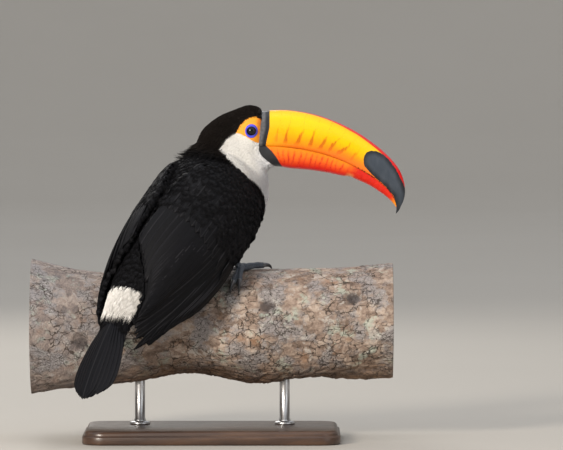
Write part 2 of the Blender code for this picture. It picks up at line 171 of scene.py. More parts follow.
def joined(name, parts):
    # bmesh join keeps point attributes of the same name and kind
    first = parts[0]
    with bpy.context.temp_override(active_object=first, selected_editable_objects=parts,
                                   selected_objects=parts, object=first):
        bpy.ops.object.join()
    first.name = name
    first.data.name = name
    return first


def baked(obj, name):
    # the evaluated mesh as a plain object, with no modifier left on it
    graph = bpy.context.evaluated_depsgraph_get()
    data = bpy.data.meshes.new_from_object(obj.evaluated_get(graph), preserve_all_data_layers=True,
                                           depsgraph=graph)
    data.name = name
    bpy.data.objects.remove(obj)
    return newObject(name, data)


def gathered(items, key, width=3, kind=float):
    out = np.empty(len(items) * width, kind)
    items.foreach_get(key, out)
    return out.reshape(-1, width)


def pointsOf(obj):
    return gathered(obj.data.vertices, "co") / mm


def setPoints(obj, points):
    obj.data.vertices.foreach_set("co", (np.asarray(points) * mm).astype(np.float32).ravel())
    obj.data.update()


def setAttribute(data, name, values, kind="FLOAT"):
    made = data.attributes.new(name, kind, "POINT")
    key = {"FLOAT_COLOR": "color", "FLOAT_VECTOR": "vector"}.get(kind, "value")
    made.data.foreach_set(key, np.asarray(values, np.int32 if kind == "INT" else np.float32).ravel())


def setTint(data, colours):
    whole = np.concatenate([colours, np.ones((len(colours), 1))], axis=1)
    setAttribute(data, "tint", whole, "FLOAT_COLOR")


# node building
class Wire:
    # a node's output that takes plain arithmetic, each step of it a math node
    def __init__(self, socket):
        self.socket = socket

    def __add__(self, other):
        return calc("ADD", self, other)

    def __sub__(self, other):
        return calc("SUBTRACT", self, other)

    def __rsub__(self, other):
        return calc("SUBTRACT", other, self)

    def __mul__(self, other):
        return calc("MULTIPLY", self, other)

    def __truediv__(self, other):
        return calc("DIVIDE", self, other)

    def __pow__(self, other):
        return calc("POWER", self, other)


def wiresOf(node):
    return {socket.name: Wire(socket) for socket in node.outputs if socket.enabled}


def treeOf(*values):
    return next(value.socket.id_data for value in values if isinstance(value, Wire))


def lead(wire, node, key):
    node.id_data.links.new(wire.socket, node.inputs[key])


def addNode(tree, kind, inputs=None, **settings):
    node = tree.nodes.new(kind)
    for key, value in settings.items():
        setattr(node, key, value)
    for key, value in (inputs or {}).items():
        if isinstance(value, Wire):
            lead(value, node, key)
        else:
            node.inputs[key].default_value = value
    return node


def wired(tree, kind, inputs=None, output=0, **settings):
    # a new node's output, by number or name
    return Wire(addNode(tree, kind, inputs, **settings).outputs[output])


def calc(operation, a, b=None, clamp=False):
    given = {0: a} if b is None else {0: a, 1: b}
    return wired(treeOf(a, b), "ShaderNodeMath", given, operation=operation, use_clamp=clamp)


def span(value, low, high, outLow=0.0, outHigh=1.0, smooth=True):
    given = {0: value, 1: low, 2: high, 3: outLow, 4: outHigh}
    kind = "SMOOTHSTEP" if smooth else "LINEAR"
    return wired(treeOf(value), "ShaderNodeMapRange", given, interpolation_type=kind)


def rgba(colour):
    return (*colour, 1.0) if isinstance(colour, tuple) else colour


def blend(share, a, b, how="MIX"):
    given = {0: share, 6: rgba(a), 7: rgba(b)}
    return wired(treeOf(share, a, b), "ShaderNodeMix", given, 2, data_type="RGBA", blend_type=how)


def layered(colour, *layers):
    # each layer's share, then its colour
    for share, over in layers:
        colour = blend(share, colour, over)
    return colour


def readAttribute(tree, name, output="Fac"):
    return wired(tree, "ShaderNodeAttribute", None, output, attribute_name=name)


def placed(tree, scale=(1, 1, 1), shift=(0, 0, 0), turn=(0, 0, 0)):
    # Object coordinates are metres, so scales here are per metre
    where = wired(tree, "ShaderNodeTexCoord", None, "Object")
    given = {0: where, 1: shift, 2: tuple(math.radians(t) for t in turn), 3: scale}
    return wired(tree, "ShaderNodeMapping", given)


def speckle(vector, scale, detail=4.0, roughness=0.55, distortion=0.0, output="Fac"):
    given = {"Vector": vector, "Scale": scale, "Detail": detail, "Roughness": roughness,
             "Distortion": distortion}
    return wired(treeOf(vector), "ShaderNodeTexNoise", given, output)


def added(a, b):
    return wired(treeOf(a), "ShaderNodeVectorMath", {0: a, 1: b}, "Vector", operation="ADD")


def scaled(a, by):
    return wired(treeOf(a), "ShaderNodeVectorMath", {0: a, "Scale": by}, "Vector", operation="SCALE")


def cells(vector, scale, feature="DISTANCE_TO_EDGE"):
    given = {"Vector": vector, "Scale": scale}
    return wired(treeOf(vector), "ShaderNodeTexVoronoi", given, "Distance", feature=feature)


def ramp(share, stops):
    node = addNode(treeOf(share), "ShaderNodeValToRGB", {0: share})
    marks = node.color_ramp.elements
    while len(marks) < len(stops):
        marks.new(0.5)
    for mark, (place, colour) in zip(marks, stops):
        mark.position = place
        mark.color = rgba(colour)
    return Wire(node.outputs[0])


def finishOf(name, **fixed):
    # a new material; fixed values go straight on its Principled shader
    material = bpy.data.materials.new(name)
    material.use_nodes = True
    for key, value in fixed.items():
        shaderOf(material).inputs[key.replace("_", " ")].default_value = value
    return material, material.node_tree


def shaderOf(material):
    return material.node_tree.nodes["Principled BSDF"]


def dressed(material, colour, height=None, strength=0.0, depth=0.0, rough=None):
    # what is linked to the shader: colour, mostly a bump, and sometimes roughness
    shader = shaderOf(material)
    lead(colour, shader, "Base Color")
    if rough:
        lead(rough, shader, "Roughness")
    if height:
        given = {"Height": height, "Strength": strength, "Distance": depth}
        lead(wired(material.node_tree, "ShaderNodeBump", given), shader, "Normal")
    return material


def newGroup(name, kind, inputs, outputs):
    # sockets by name, each with its default or else its kind
    tree = bpy.data.node_groups.new(name, kind)
    for way, sockets in (("INPUT", inputs), ("OUTPUT", outputs)):
        for label, value in sockets.items():
            fixed = not isinstance(value, str)
            what = type(value).__name__.capitalize() if fixed else value
            made = tree.interface.new_socket(label, in_out=way, socket_type=f"NodeSocket{what}")
            if fixed:
                made.default_value = value
            if what == "Float":
                made.min_value, made.max_value = -10000.0, 10000.0
    return tree, wiresOf(tree.nodes.new("NodeGroupInput")), tree.nodes.new("NodeGroupOutput")


def placeGroup(tree, group, **inputs):
    return wiresOf(addNode(tree, "ShaderNodeGroup", inputs, node_tree=group))


# the bird's line from tail to bill: the trunk's own frame, then rows as
# ahead of the tail root, rise, pitch, half width, reach to the back, reach to the belly
trunk = {
    "root": (-95.0, -90.0, 165.0),
    "heading": 45.0,
    "pitch": 43.0,
    "squareness": 2.2,
    "rows": (
        (-31.0, -3.0, 62.0, 25.0, 8.0, 9.0),
        (-10.0, -2.0, 54.0, 29.0, 17.0, 20.0),
        (18.0, 0.0, 46.0, 37.0, 25.0, 30.0),
        (50.0, 0.0, 43.0, 47.0, 37.0, 40.0),
        (85.0, 0.0, 43.0, 55.0, 45.0, 46.0),
        (125.0, 0.0, 43.0, 58.0, 49.0, 56.0),
        (160.0, 0.0, 43.0, 58.0, 51.0, 66.0),
        (192.0, 0.0, 44.0, 55.0, 49.5, 71.0),
        (214.0, 1.0, 47.0, 50.0, 46.5, 66.0),
    ),
}
# place x and z in the head's plane, heading, pitch, half width, reach up, reach down
head = {
    "plane": 25.0,
    "squareness": 2.5,
    "rows": (
        (24.0, 321.8, 20.0, 59.4, 38.0, 49.5, 49.5),
        (27.7, 332.6, 8.0, 52.8, 34.5, 49.0, 48.0),
        (36.1, 342.8, 0.0, 41.7, 31.5, 45.5, 45.5),
        (46.9, 349.5, 0.0, 28.7, 29.0, 41.7, 41.7),
        (56.0, 353.8, 0.0, 17.1, 26.5, 39.3, 39.3),
        (64.9, 352.3, 0.0, 6.0, 23.0, 33.4, 33.4),
    ),
}
# from the tail to the bill: along the line, depth of the feathers over the skin
coatDepth = np.array(((0, 2.2), (60, 3.0), (200, 3.2), (245, 2.6), (262, 1.7), (300, 1.0)))

trunkRoot = np.array(trunk["root"])
trunkAhead, trunkSide, trunkUp = axesAt(trunk["heading"], trunk["pitch"])


def spineRows(steps):
    rows = []
    for ahead, rise, pitch, halfWidth, back, belly in trunk["rows"]:
        place = trunkRoot + trunkAhead * ahead + trunkUp * rise
        rows.append((*place, trunk["heading"], pitch, halfWidth, back, belly, trunk["squareness"]))
    for x, z, heading, pitch, halfWidth, up, down in head["rows"]:
        rows.append((x, head["plane"], z, heading, pitch, halfWidth, up, down, head["squareness"]))
    return easedRows(rows, steps)


spine = spineRows(8)
spinePlaces = spine[:, :3]
spineAhead, spineSide, spineUp = axesAt(spine[:, 3], spine[:, 4])
spineAlong = np.concatenate([[0], np.cumsum(np.linalg.norm(np.diff(spinePlaces, axis=0), axis=1))])


def bodyPlace(points):
    # along the line from the tail's root, angle round it from the back (right side
    # positive), and the way to the tail, each eased over the nearest rows
    along, around, back = [], [], []
    for part in np.array_split(points, max(1, len(points) // 4000)):
        gap = part[:, None, :] - spinePlaces[None, :, :]
        far = np.linalg.norm(gap, axis=2)
        share = np.exp(-((far - far.min(axis=1, keepdims=True)) / 3.0) ** 2)
        share /= share.sum(axis=1, keepdims=True)
        ahead = unit(share @ spineAhead)
        side = share @ spineSide
        up = np.cross(side, ahead)
        rel = part - share @ spinePlaces
        along.append(share @ spineAlong + dot(rel, ahead)[:, 0] * 0.6)
        around.append(np.degrees(np.arctan2(dot(rel, side)[:, 0], dot(rel, up)[:, 0])))
        back.append(-ahead)
    return np.concatenate(along), np.concatenate(around), np.concatenate(back)


def trunkPlace(points):
    rel = points - trunkRoot
    return rel @ trunkAhead, np.degrees(np.arctan2(rel @ trunkSide, rel @ trunkUp))


def ovalRing(place, side, up, halfWidth, reachUp, reachDown, sides, squareness):
    angle = 2 * np.pi * np.arange(sides) / sides
    across = halfWidth * signedPower(np.sin(angle), 2 / squareness)
    rise = np.where(np.cos(angle) > 0, reachUp, reachDown) * signedPower(np.cos(angle), 2 / squareness)
    return place + np.outer(across, side) + np.outer(rise, up)


# the bill: heights of its base, then along the mouth line from its corner distance,
# downward slope, depth of the upper and of the lower half, half width
bill = {
    "corner": (54.5, 25.0, 343.8),
    "base": (319.2, 384.3),
    "squareness": 2.35,
    "tipBeyond": 8.0,
    "leanUpper": 3.6,
    "leanLower": 20.0,
    "leanFades": 40.0,
    "leanBend": 1.9,
    "baseFlare": 1.6,
    "lowerShare": 0.972,
    "rows": (
        (0.0, 0.0, 40.5, 24.6, 20.0),
        (16.0, 2.0, 42.0, 25.0, 20.8),
        (34.0, 6.0, 43.0, 25.2, 20.5),
        (61.0, 12.0, 42.1, 23.4, 19.2),
        (99.0, 22.5, 37.8, 18.6, 16.6),
        (119.0, 28.0, 34.7, 14.3, 14.8),
        (139.0, 33.4, 31.2, 11.4, 12.6),
        (159.0, 43.5, 25.6, 9.2, 10.0),
        (175.4, 62.0, 15.6, 5.6, 7.0),
        (187.0, 84.0, 5.4, 1.2, 3.6),
    ),
}


def baseOfBill(z, low, top):
    corner = bill["corner"]
    upper = bill["leanUpper"] * (z - corner[2]) / (top - corner[2])
    share = np.clip((corner[2] - z) / (corner[2] - low), 0, 1)
    lower = bill["leanLower"] * share ** bill["leanBend"] - 1.2 * np.sin(math.pi * share) ** 0.5
    return corner[0] + np.where(z > corner[2], upper, lower)


# folded wing: ahead of the tail root, half width, reach to the back, depth of the
# hanging side, angle of the upper and of the lower edge from the back, thickness
wing = {
    "leftTuck": 16.0,
    "leftDrop": 30.0,
    "leftDropTo": 30.0,
    "rows": (
        (-47.0, 29.0, 22.0, 100.0, 103.0, 110.0, 1.6),
        (-35.0, 33.0, 22.0, 103.0, 84.0, 113.0, 3.0),
        (-12.0, 40.0, 24.0, 106.0, 64.0, 115.0, 4.5),
        (18.0, 49.0, 33.0, 109.0, 36.0, 117.0, 5.5),
        (50.0, 59.0, 46.0, 110.0, 8.0, 118.0, 6.5),
        (85.0, 64.0, 54.0, 110.0, 5.0, 118.0, 7.0),
        (125.0, 66.0, 57.0, 110.0, 5.0, 118.0, 7.5),
        (165.0, 65.0, 59.0, 109.0, 14.0, 116.0, 7.5),
        (190.0, 61.0, 54.0, 105.0, 36.0, 110.0, 6.0),
        (204.0, 57.5, 50.0, 99.0, 64.0, 97.0, 2.5),
    ),
}
wingRows = easedRows(wing["rows"], 6)


def wingEdges(ahead, way):
    row = rowAt(wingRows, ahead)
    top, low = row[..., 4], row[..., 5]
    if way < 0:
        behind = np.clip((wing["leftDropTo"] - ahead) / (wing["leftDropTo"] - wingRows[0, 0]), 0, 1)
        low = low - wing["leftTuck"] * (1 - behind)
        top = np.minimum(top + wing["leftDrop"] * behind * (1 - behind * 0.6), low - 7.0)
    return top, low


def wingPoint(ahead, angle, way, sink=0.0):
    # a point of the folded wing's outer face; the angle is the right wing's
    ahead, angle = np.asarray(ahead, float), np.asarray(angle, float)
    row = rowAt(wingRows, ahead)
    if way < 0:
        share = (angle - row[..., 4]) / (row[..., 5] - row[..., 4])
        top, low = wingEdges(ahead, way)
        angle = top + (low - top) * share
    turn = np.radians(angle)
    reach = np.where(np.cos(turn) > 0, row[..., 2], row[..., 3]) - sink
    across, rise = (row[..., 1] - sink) * np.sin(turn), reach * np.cos(turn)
    return (trunkRoot + ahead[..., None] * trunkAhead + (way * across)[..., None] * trunkSide
            + rise[..., None] * trunkUp)


# tail: distance along it, half width, crown of its roof, thickness
tail = {
    "rise": 2.0,
    "rows": (
        (0.0, 25.0, 6.0, 6.0),
        (30.0, 31.0, 6.0, 5.0),
        (56.0, 34.5, 5.5, 4.0),
        (78.0, 34.0, 5.0, 3.2),
        (92.0, 28.0, 4.5, 2.6),
        (99.0, 16.0, 3.5, 2.0),
    ),
}
tailRows = easedRows(tail["rows"], 6)
tailPlace = spinePlaces[0] + spineUp[0] * tail["rise"]
tailBack, tailSide, tailUp = -spineAhead[0], spineSide[0], spineUp[0]


def tailPoint(distance, share, lift=0.0):
    # share runs from -1 at the left edge to 1 at the right edge
    distance, share = np.asarray(distance, float), np.asarray(share, float)
    row = rowAt(tailRows, distance)
    roof = row[..., 2] * (1 - share * share) - row[..., 2] * 0.5 + lift
    return (tailPlace + distance[..., None] * tailBack + (row[..., 1] * share)[..., None] * tailSide
            + roof[..., None] * tailUp)


# legs: the foot's place along the branch and its angle from the branch's top
legs = {
    "feet": {"right": (33.0, -13.0), "left": (-4.0, 15.0)},
    "run": (-0.5, -0.5, 0.72),
    "shank": 46.0,
    "thigh": 40.0,
    "thighRadius": 17.0,
    "cuffShare": 0.62,
    "cuffRadius": 6.5,
    "toeRadius": 4.3,
    "swells": (1.0, 0.9, 1.0, 0.85, 0.93, 0.72),
    "clawLength": 16.0,
    "clawRadius": 2.3,
    "toes": {
        "front_inner": (78.0, 27.0),
        "front_outer": (42.0, 36.0),
        "back_outer": (256.0, 35.0),
        "back_inner": (268.0, 32.0),
    },
}
# branch: half its length and its usual radius, then place along X, height of its axis, radius
branch = {
    "plane": 28.0,
    "end": 212.0,
    "girth": 65.5,
    "lump": 1.6,
    "rows": (
        (-212.0, 130.7, 81.0),
        (-165.0, 127.5, 72.5),
        (-122.0, 129.0, 66.4),
        (-60.0, 133.4, 62.0),
        (-10.0, 134.3, 60.8),
        (50.0, 130.7, 68.2),
        (100.0, 134.0, 66.0),
        (150.0, 135.5, 65.6),
        (212.0, 139.0, 67.6),
    ),
}
branchRows = easedRows(branch["rows"], 6)
toeSwells = easedRows([(s,) for s in legs["swells"]], 6)[:, 0] * legs["toeRadius"]


def barkPoint(x, angle, lift=0.0):
    # on the branch at x, at an angle from its top towards +Y
    x, angle = np.broadcast_arrays(np.asarray(x, float), np.asarray(angle, float))
    row = rowAt(branchRows, x)
    turn = np.radians(angle)
    waves = np.sin(3 * turn + x / 38) + np.sin(5 * turn - x / 23)
    reach = row[..., 2] + branch["lump"] * waves * np.abs(np.sin(turn / 2)) + lift
    return np.stack([x, branch["plane"] + reach * np.sin(turn), row[..., 1] + reach * np.cos(turn)],
                    axis=-1)


def toeLine(side, heading, length, lift, count, start=0.0):
    x, angle = legs["feet"][side]
    heading = heading if side == "right" else 90.0 - heading
    radius = rowAt(branchRows, np.array(x))[2]
    run = start + (length - start) * np.arange(count) / (count - 1)
    swing = np.degrees(run * np.sin(np.radians(heading)) / (radius + np.mean(lift)))
    return barkPoint(x + run * np.cos(np.radians(heading)), angle + swing, lift)


def tubeRings(points, radii, sides, squash=1.0):
    rings = []
    for i, point in enumerate(points):
        run = unit(points[min(i + 1, len(points) - 1)] - points[max(i - 1, 0)])
        side = np.cross(run, (0.0, 0.0, 1.0))
        if np.linalg.norm(side) < 0.2:
            side = np.cross(run, (1.0, 0.0, 0.0))
        side = unit(side)
        up = np.cross(side, run)
        rings.append(ovalRing(point, side, up, radii[i], radii[i] * squash, radii[i] * squash, sides, 2.0))
    return np.concatenate(rings)


def legPlaces(side):
    heel = barkPoint(*legs["feet"][side], legs["toeRadius"])
    run = unit(np.array(legs["run"]))
    ankle = heel + run * legs["shank"]
    hip = ankle - trunkAhead * 6.0 + trunkUp * legs["thigh"]
    return heel, ankle, hip, ankle + (heel - ankle) * legs["cuffShare"]


# the skin: every fleshy part a coat's depth inside its outline, then one closed surface
skinMake = {"voxel": 1.75, "smooth": 5, "wingSink": 1.7, "wingBlade": 2.9, "wingFrom": -32.0,
            "wingTo": 200.0,
            "tailTo": 54.0, "tailBlade": 2.8, "tailLow": 1.2, "thighDepth": 2.0, "neckRounds": 80}


def skinBody():
    rings = []
    for row, side, up, along in zip(spine, spineSide, spineUp, spineAlong):
        depth = np.interp(along, coatDepth[:, 0], coatDepth[:, 1])
        slim = 2.0 * smoothStep(-14.0, 0.0, along - spineAlong[-1])
        rings.append(ovalRing(row[:3], side, up, row[5] - depth - slim, row[6] - depth, row[7] - depth,
                              64, row[8]))
    top, low = rings[-1][:, 2].max(), rings[-1][:, 2].min()
    for behind, ring in enumerate(reversed(rings[-24:])):
        # cut along the bill's base
        limit = baseOfBill(np.clip(ring[:, 2], low, top), low, top) - behind * 0.7 + 0.6
        ring[:, 0] = limit if behind == 0 else np.minimum(ring[:, 0], limit)
    points = np.concatenate(rings)
    return meshObject("skinBody", points, ringFaces(len(rings), 64))


def skinWing(way):
    rings = []
    for ahead in np.linspace(skinMake["wingFrom"], skinMake["wingTo"], 60):
        row = rowAt(wingRows, ahead)
        share = np.linspace(0.02, 0.98, 24)
        angle = row[4] + (row[5] - row[4]) * share
        blade = max(skinMake["wingBlade"], row[6] - 2.0)
        outer = wingPoint(np.full(24, ahead), angle, way, skinMake["wingSink"])
        inner = wingPoint(np.full(24, ahead), angle, way, skinMake["wingSink"] + blade)
        rings.append(np.concatenate([outer, inner[::-1]]))
    return faceOutward(meshObject(f"skinWing{way}", np.concatenate(rings), ringFaces(60, 48)))


def skinTail():
    rings = []
    for distance in np.linspace(-8.0, skinMake["tailTo"], 30):
        share = np.linspace(-0.86, 0.86, 16)
        half = skinMake["tailBlade"] / 2
        low = skinMake["tailLow"]
        rings.append(np.concatenate([tailPoint(np.full(16, distance), share, half - low),
                                     tailPoint(np.full(16, distance), share, -half - low)[::-1]]))
    return faceOutward(meshObject("skinTail", np.concatenate(rings), ringFaces(30, 32)))


def skinLeg(side):
    heel, ankle, hip, cuff = legPlaces(side)
    depth, wide = skinMake["thighDepth"], legs["thighRadius"]
    thigh = easedRows([hip, (hip + ankle) / 2, ankle, cuff], 6)
    girth = easedRows([(wide,), (wide,), (wide * 0.78,), (legs["cuffRadius"],)], 6)[:, 0] - depth
    parts = [meshObject("skinThigh", tubeRings(thigh, girth, 32), ringFaces(len(thigh), 32))]
    shank = easedRows([cuff - unit(heel - ankle) * 4.0, (cuff + heel) / 2, heel], 6)
    girth = easedRows([(4.2,), (3.7,), (5.0,)], 6)[:, 0]
    parts.append(meshObject("skinShank", tubeRings(shank, girth, 28), ringFaces(len(shank), 28)))
    for heading, length in legs["toes"].values():
        line = toeLine(side, heading, length, legs["toeRadius"] * 0.85, len(toeSwells))
        parts.append(meshObject("skinToe", tubeRings(line, toeSwells, 24), ringFaces(len(line), 24)))
    ball = bmesh.new()
    bmesh.ops.create_icosphere(ball, subdivisions=3, radius=legs["toeRadius"] * 1.25 * mm)
    bmesh.ops.translate(ball, vec=Vector(heel) * mm, verts=ball.verts[:])
    return [faceOutward(part) for part in parts + [bmeshObject("skinHeel", ball)]]


def makeSkin():
    parts = [skinBody(), skinWing(1), skinWing(-1), skinTail()]
    for side in legs["feet"]:
        parts += skinLeg(side)
    sources = {}
    for part in parts:
        corners = [tuple(face.vertices) for face in part.data.polygons]
        sources.setdefault(part.name.split(".")[0], []).append((pointsOf(part), corners))
    whole = joined("skin", [faceOutward(part) for part in parts])
    remesh = whole.modifiers.new("one surface", "REMESH")
    remesh.mode = "VOXEL"
    remesh.voxel_size = skinMake["voxel"] * mm
    ease = whole.modifiers.new("eased", "SMOOTH")
    ease.factor = 0.5
    ease.iterations = skinMake["smooth"]
    return baked(whole, "skin"), sources


def easeNeck(points):
    # the fold where the neck turns is smoothed away
    ends = gathered(skin.data.edges, "vertices", 2, np.int64)
    a, b = ends.T
    count = np.bincount(ends.ravel(), minlength=len(points))[:, None]
    along = bodyPlace(points)[0]
    share = smoothStep(205, 228, along) * smoothStep(272, 252, along) * (points[:, 2] > 285)
    for _ in range(skinMake["neckRounds"]):
        total = np.stack([np.bincount(a, points[b, k], len(points))
                          + np.bincount(b, points[a, k], len(points)) for k in range(3)], axis=1)
        points = points + (total / count - points) * share[:, None] * 0.7
    return points


skin, skinSources = makeSkin()
skinPoints = easeNeck(pointsOf(skin))
setPoints(skin, skinPoints)
print("skin", len(skinPoints), "points", len(skin.data.polygons), "faces")


# which part each face of the skin belongs to, and the way its feathers lie
skinCorners = [tuple(face.vertices) for face in skin.data.polygons]
skinTree = BVHTree.FromPolygons([Vector(p) for p in skinPoints], skinCorners)
quads = np.array([c if len(c) == 4 else (*c, c[-1]) for c in skinCorners])
quadMiddle = skinPoints[quads].mean(axis=1)
quadNormal = gathered(skin.data.polygons, "normal")
quadArea = gathered(skin.data.polygons, "area", 1)[:, 0] / (mm * mm)


def sourceTree(key):
    points, faces, start = [], [], 0
    for part, corners in skinSources[key]:
        points += [Vector(p) for p in part]
        faces += [tuple(i + start for i in c) for c in corners]
        start += len(part)
    return BVHTree.FromPolygons(points, faces)


def partOfSkin(points):
    # 0 body, 1 and 2 wings, 3 tail, 4 thighs, 5 shanks, 6 toes, 7 heels
    keys = "Body", "Wing1", "Wing-1", "Tail", "Thigh", "Shank", "Toe", "Heel"
    far = np.full((len(keys), len(points)), 50.0)
    for k, key in enumerate(keys):
        tree = sourceTree("skin" + key)
        for i, point in enumerate(points):
            found = tree.find_nearest(Vector(point), 6.0)
            if found[3] is not None:
                far[k, i] = found[3]
    return np.argmin(far, axis=0)


quadPart = partOfSkin(quadMiddle)
onBody, onWingRight, onWingLeft, onTail, onThigh = (quadPart == k for k in range(5))
onWing = onWingRight | onWingLeft
print("skin parts", [int((quadPart == k).sum()) for k in range(8)])

quadAlong, quadAround, quadFlow = bodyPlace(quadMiddle)
quadAhead, quadTurn = trunkPlace(quadMiddle)
quadFlow[onWing] = -trunkAhead
quadFlow[onTail] = tailBack
for side in legs["feet"]:
    heel, ankle, hip, cuff = legPlaces(side)
    onSide = (quadMiddle[:, 0] > 12) == (side == "right")
    near = onThigh & onSide & (np.linalg.norm(quadMiddle - ankle, axis=1) < 60)
    quadFlow[near] = unit(cuff - hip)
quadFlow = unit(quadFlow - quadNormal * dot(quadFlow, quadNormal))

# markings: outlines in the head's side plane, and edges on the trunk as angle from
# the back against distance ahead of the tail's root
marks = {
    "bib": ((30.4, 360.6), (19.5, 354.0), (11.7, 342.8), (12.6, 338.5), (16.4, 335.4), (24.6, 325.3),
            (33.9, 315.9), (43.3, 308.9), (51.5, 303.0), (58.5, 298.4), (63.2, 294.8), (90.0, 275.0),
            (90.0, 353.0), (58.0, 352.5), (54.0, 349.5), (47.5, 351.5), (41.0, 356.0), (36.0, 359.8)),
    "bibLow": ((0, 226), (26, 217.7), (39, 209.4), (54, 202.8), (67, 198.4), (79, 200.2), (95, 208.3),
               (110, 212.5), (125, 213.0), (145, 210.0), (180, 206.0)),
    "bare": ((28.6, 359.4), (33.9, 368.6), (39.8, 374.4), (46.0, 377.0), (51.5, 378.2), (57.6, 378.0),
             (60.6, 377.0), (55.7, 350.0), (54.9, 346.0), (53.6, 347.4), (48.0, 350.6), (41.0, 355.4),
             (33.5, 358.6)),
    "rumpAhead": (-19.0, 13.0), "rumpTurn": 82.0,
    "undertailAhead": 22.0, "undertailTurn": 136.0,
    "besideFace": 11.0,
}
skinColours = {
    "black": (0.0042, 0.0042, 0.0055), "crown": (0.0095, 0.0068, 0.0055),
    # throatPaintedShade is painted shade that greys the white bib towards the bill
    "white": (0.97, 0.95, 0.91), "throatPaintedShade": (0.62, 0.64, 0.70),
    "yellow": (0.83, 0.66, 0.28), "redLine": (0.50, 0.03, 0.02),
    "rump": (0.95, 0.93, 0.90), "undertail": (0.52, 0.025, 0.02),
    "bareSkin": (0.95, 0.36, 0.012), "bareRed": (0.86, 0.14, 0.012),
    "legSkin": (0.085, 0.105, 0.135),
}


def bibEdge(points):
    # millimetres inside the white bib
    inHead = edgeDistance(points[:, [0, 2]], marks["bib"])
    ahead, turn = trunkPlace(points)
    low = np.array(marks["bibLow"], float)
    inTrunk = ahead - np.interp(np.abs(turn), low[:, 0], low[:, 1])
    share = smoothStep(300.0, 335.0, points[:, 2])
    return inTrunk * (1 - share) + inHead * share, inTrunk


def bareEdge(points):
    flat = points[:, [0, 2]].copy()
    flat[:, 0] = np.minimum(flat[:, 0], baseOfBill(flat[:, 1], *bill["base"]) - 1.2)
    inside = edgeDistance(flat, marks["bare"])
    beside = np.abs(points[:, 1] - head["plane"]) > marks["besideFace"]
    return np.where(beside, inside, -np.abs(inside) - 1.0)


def rumpEdge(points):
    ahead, turn = trunkPlace(points)
    low, high = marks["rumpAhead"]
    return np.minimum(np.minimum(ahead - low, high - ahead), (marks["rumpTurn"] - np.abs(turn)) * 0.5)


def undertailEdge(points):
    ahead, turn = trunkPlace(points)
    under = (tailPlace - points) @ tailUp - 5.0
    return np.minimum(np.minimum(marks["undertailAhead"] - ahead,
                                 (np.abs(turn) - marks["undertailTurn"]) * 0.5), under)


def mixed(a, b, share):
    share = np.clip(share, 0, 1)[:, None]
    return np.asarray(a) * (1 - share) + np.asarray(b) * share


def tintOf(points, part, along, flesh=False):
    # the same colours for the skin and for the feathers that root on it
    colour = mixed(skinColours["black"], skinColours["crown"], smoothStep(228, 262, along))
    bib, low = bibEdge(points)
    # painted shade: the white bib greys to blue-grey towards the bill
    shade = smoothStep(44, 66, points[:, 0]) * 0.55
    white = mixed(skinColours["white"], skinColours["throatPaintedShade"], shade)
    turn = trunkPlace(points)[1]
    front = smoothStep(150, 166, np.abs(turn)) * smoothStep(330, 300, points[:, 2])
    white = mixed(white, skinColours["yellow"], smoothStep(11, 2, low) * front * 0.75)
    colour = mixed(colour, skinColours["redLine"], smoothStep(-6.5, -4.0, low) * front)
    colour = mixed(colour, white, smoothStep(-0.6, 0.6, bib))
    for key, edge in (("rump", rumpEdge(points)), ("undertail", undertailEdge(points))):
        colour = mixed(colour, skinColours[key], smoothStep(-0.5, 0.5, edge) * (part != 4))
    colour[(part >= 1) & (part <= 3)] = skinColours["black"]
    far, across, high = ((points - tailPlace) @ way for way in (tailBack, tailSide, tailUp))
    colour[(part == 3) & (high <= -1.5) & (far < 26.0) & (np.abs(across) < 15.0)] = skinColours["undertail"]
    if flesh:
        bare = mixed(skinColours["bareSkin"], skinColours["bareRed"], smoothStep(51, 58, points[:, 0]))
        colour = mixed(colour, bare, smoothStep(-0.4, 0.4, bareEdge(points)) * (part == 0))
    colour[part >= 5] = skinColours["legSkin"]
    return colour


# feather shapes, as x across, y along, z off the surface
def bladeFaces(rows, columns):
    # the domed face, its flat underside and two ends
    faces = [(k * columns + i, k * columns + i + 1, (k + 1) * columns + i + 1, (k + 1) * columns + i)
             for k in range(rows - 1) for i in range(columns - 1)]
    for left in range(0, (rows - 1) * columns, columns):
        right = left + columns - 1
        faces.append((right, left, left + columns, right + columns))
    return faces + [tuple(range(columns)), tuple(range((rows - 1) * columns, rows * columns))[::-1]]


def vaneCard(name, rows, columns, outline, tip, ragged, seed):
    # one stiff vane
    dice = np.random.default_rng(seed)
    y = np.linspace(0, 1, rows) ** 0.9
    x = np.linspace(-1, 1, columns)
    width = np.interp(y, *zip(*outline))
    points = []
    for k in range(rows):
        for i in range(columns):
            short = (1 - tip) * x[i] ** 2 * y[k] ** 4
            tear = ragged * dice.uniform(-1, 1) * (y[k] > 0.8)
            rim = abs(x[i]) > 0.99 or k in (0, rows - 1)
            points.append((x[i] * width[k], y[k] * (1 - short) + tear, 0.0 if rim else 1.0))
    return cardObject(name, points, bladeFaces(rows, columns))


def plumeCard(name, rows, fingers, seed):
    # a soft body feather: a vane whose end breaks into loose barbs
    dice = np.random.default_rng(seed)
    columns, body = 5, 0.58
    points, faces = [], bladeFaces(rows, columns)
    for k in range(rows):
        y = body * k / (rows - 1)
        wide = 0.35 + 0.65 * math.sin(min(1.0, 0.25 + 0.75 * k / (rows - 1)) * math.pi / 2)
        for x in np.linspace(-1, 1, columns):
            drop = 0.10 * x * x * k / (rows - 1)
            points.append((x * wide, y - drop, 0.0 if abs(x) > 0.99 or k in (0, rows - 1) else 1.0))
    for b in range(fingers):
        middle, half = -1 + 2 * (b + 0.5) / fingers, 1.25 / fingers
        start = len(points)
        low = body - 0.10 * middle * middle - 0.16
        high = 1.0 - 0.26 * middle * middle - dice.uniform(0, 0.14)
        tip = middle * 0.82 + dice.uniform(-0.10, 0.10)
        points += [(middle - half, low, 0.0), (middle, low, 0.8), (middle + half, low, 0.0),
                   (tip, high, 0.25)]
        faces += [(start, start + 1, start + 2), (start, start + 3, start + 1),
                  (start + 1, start + 3, start + 2), (start + 2, start + 3, start)]
    return cardObject(name, points, faces)


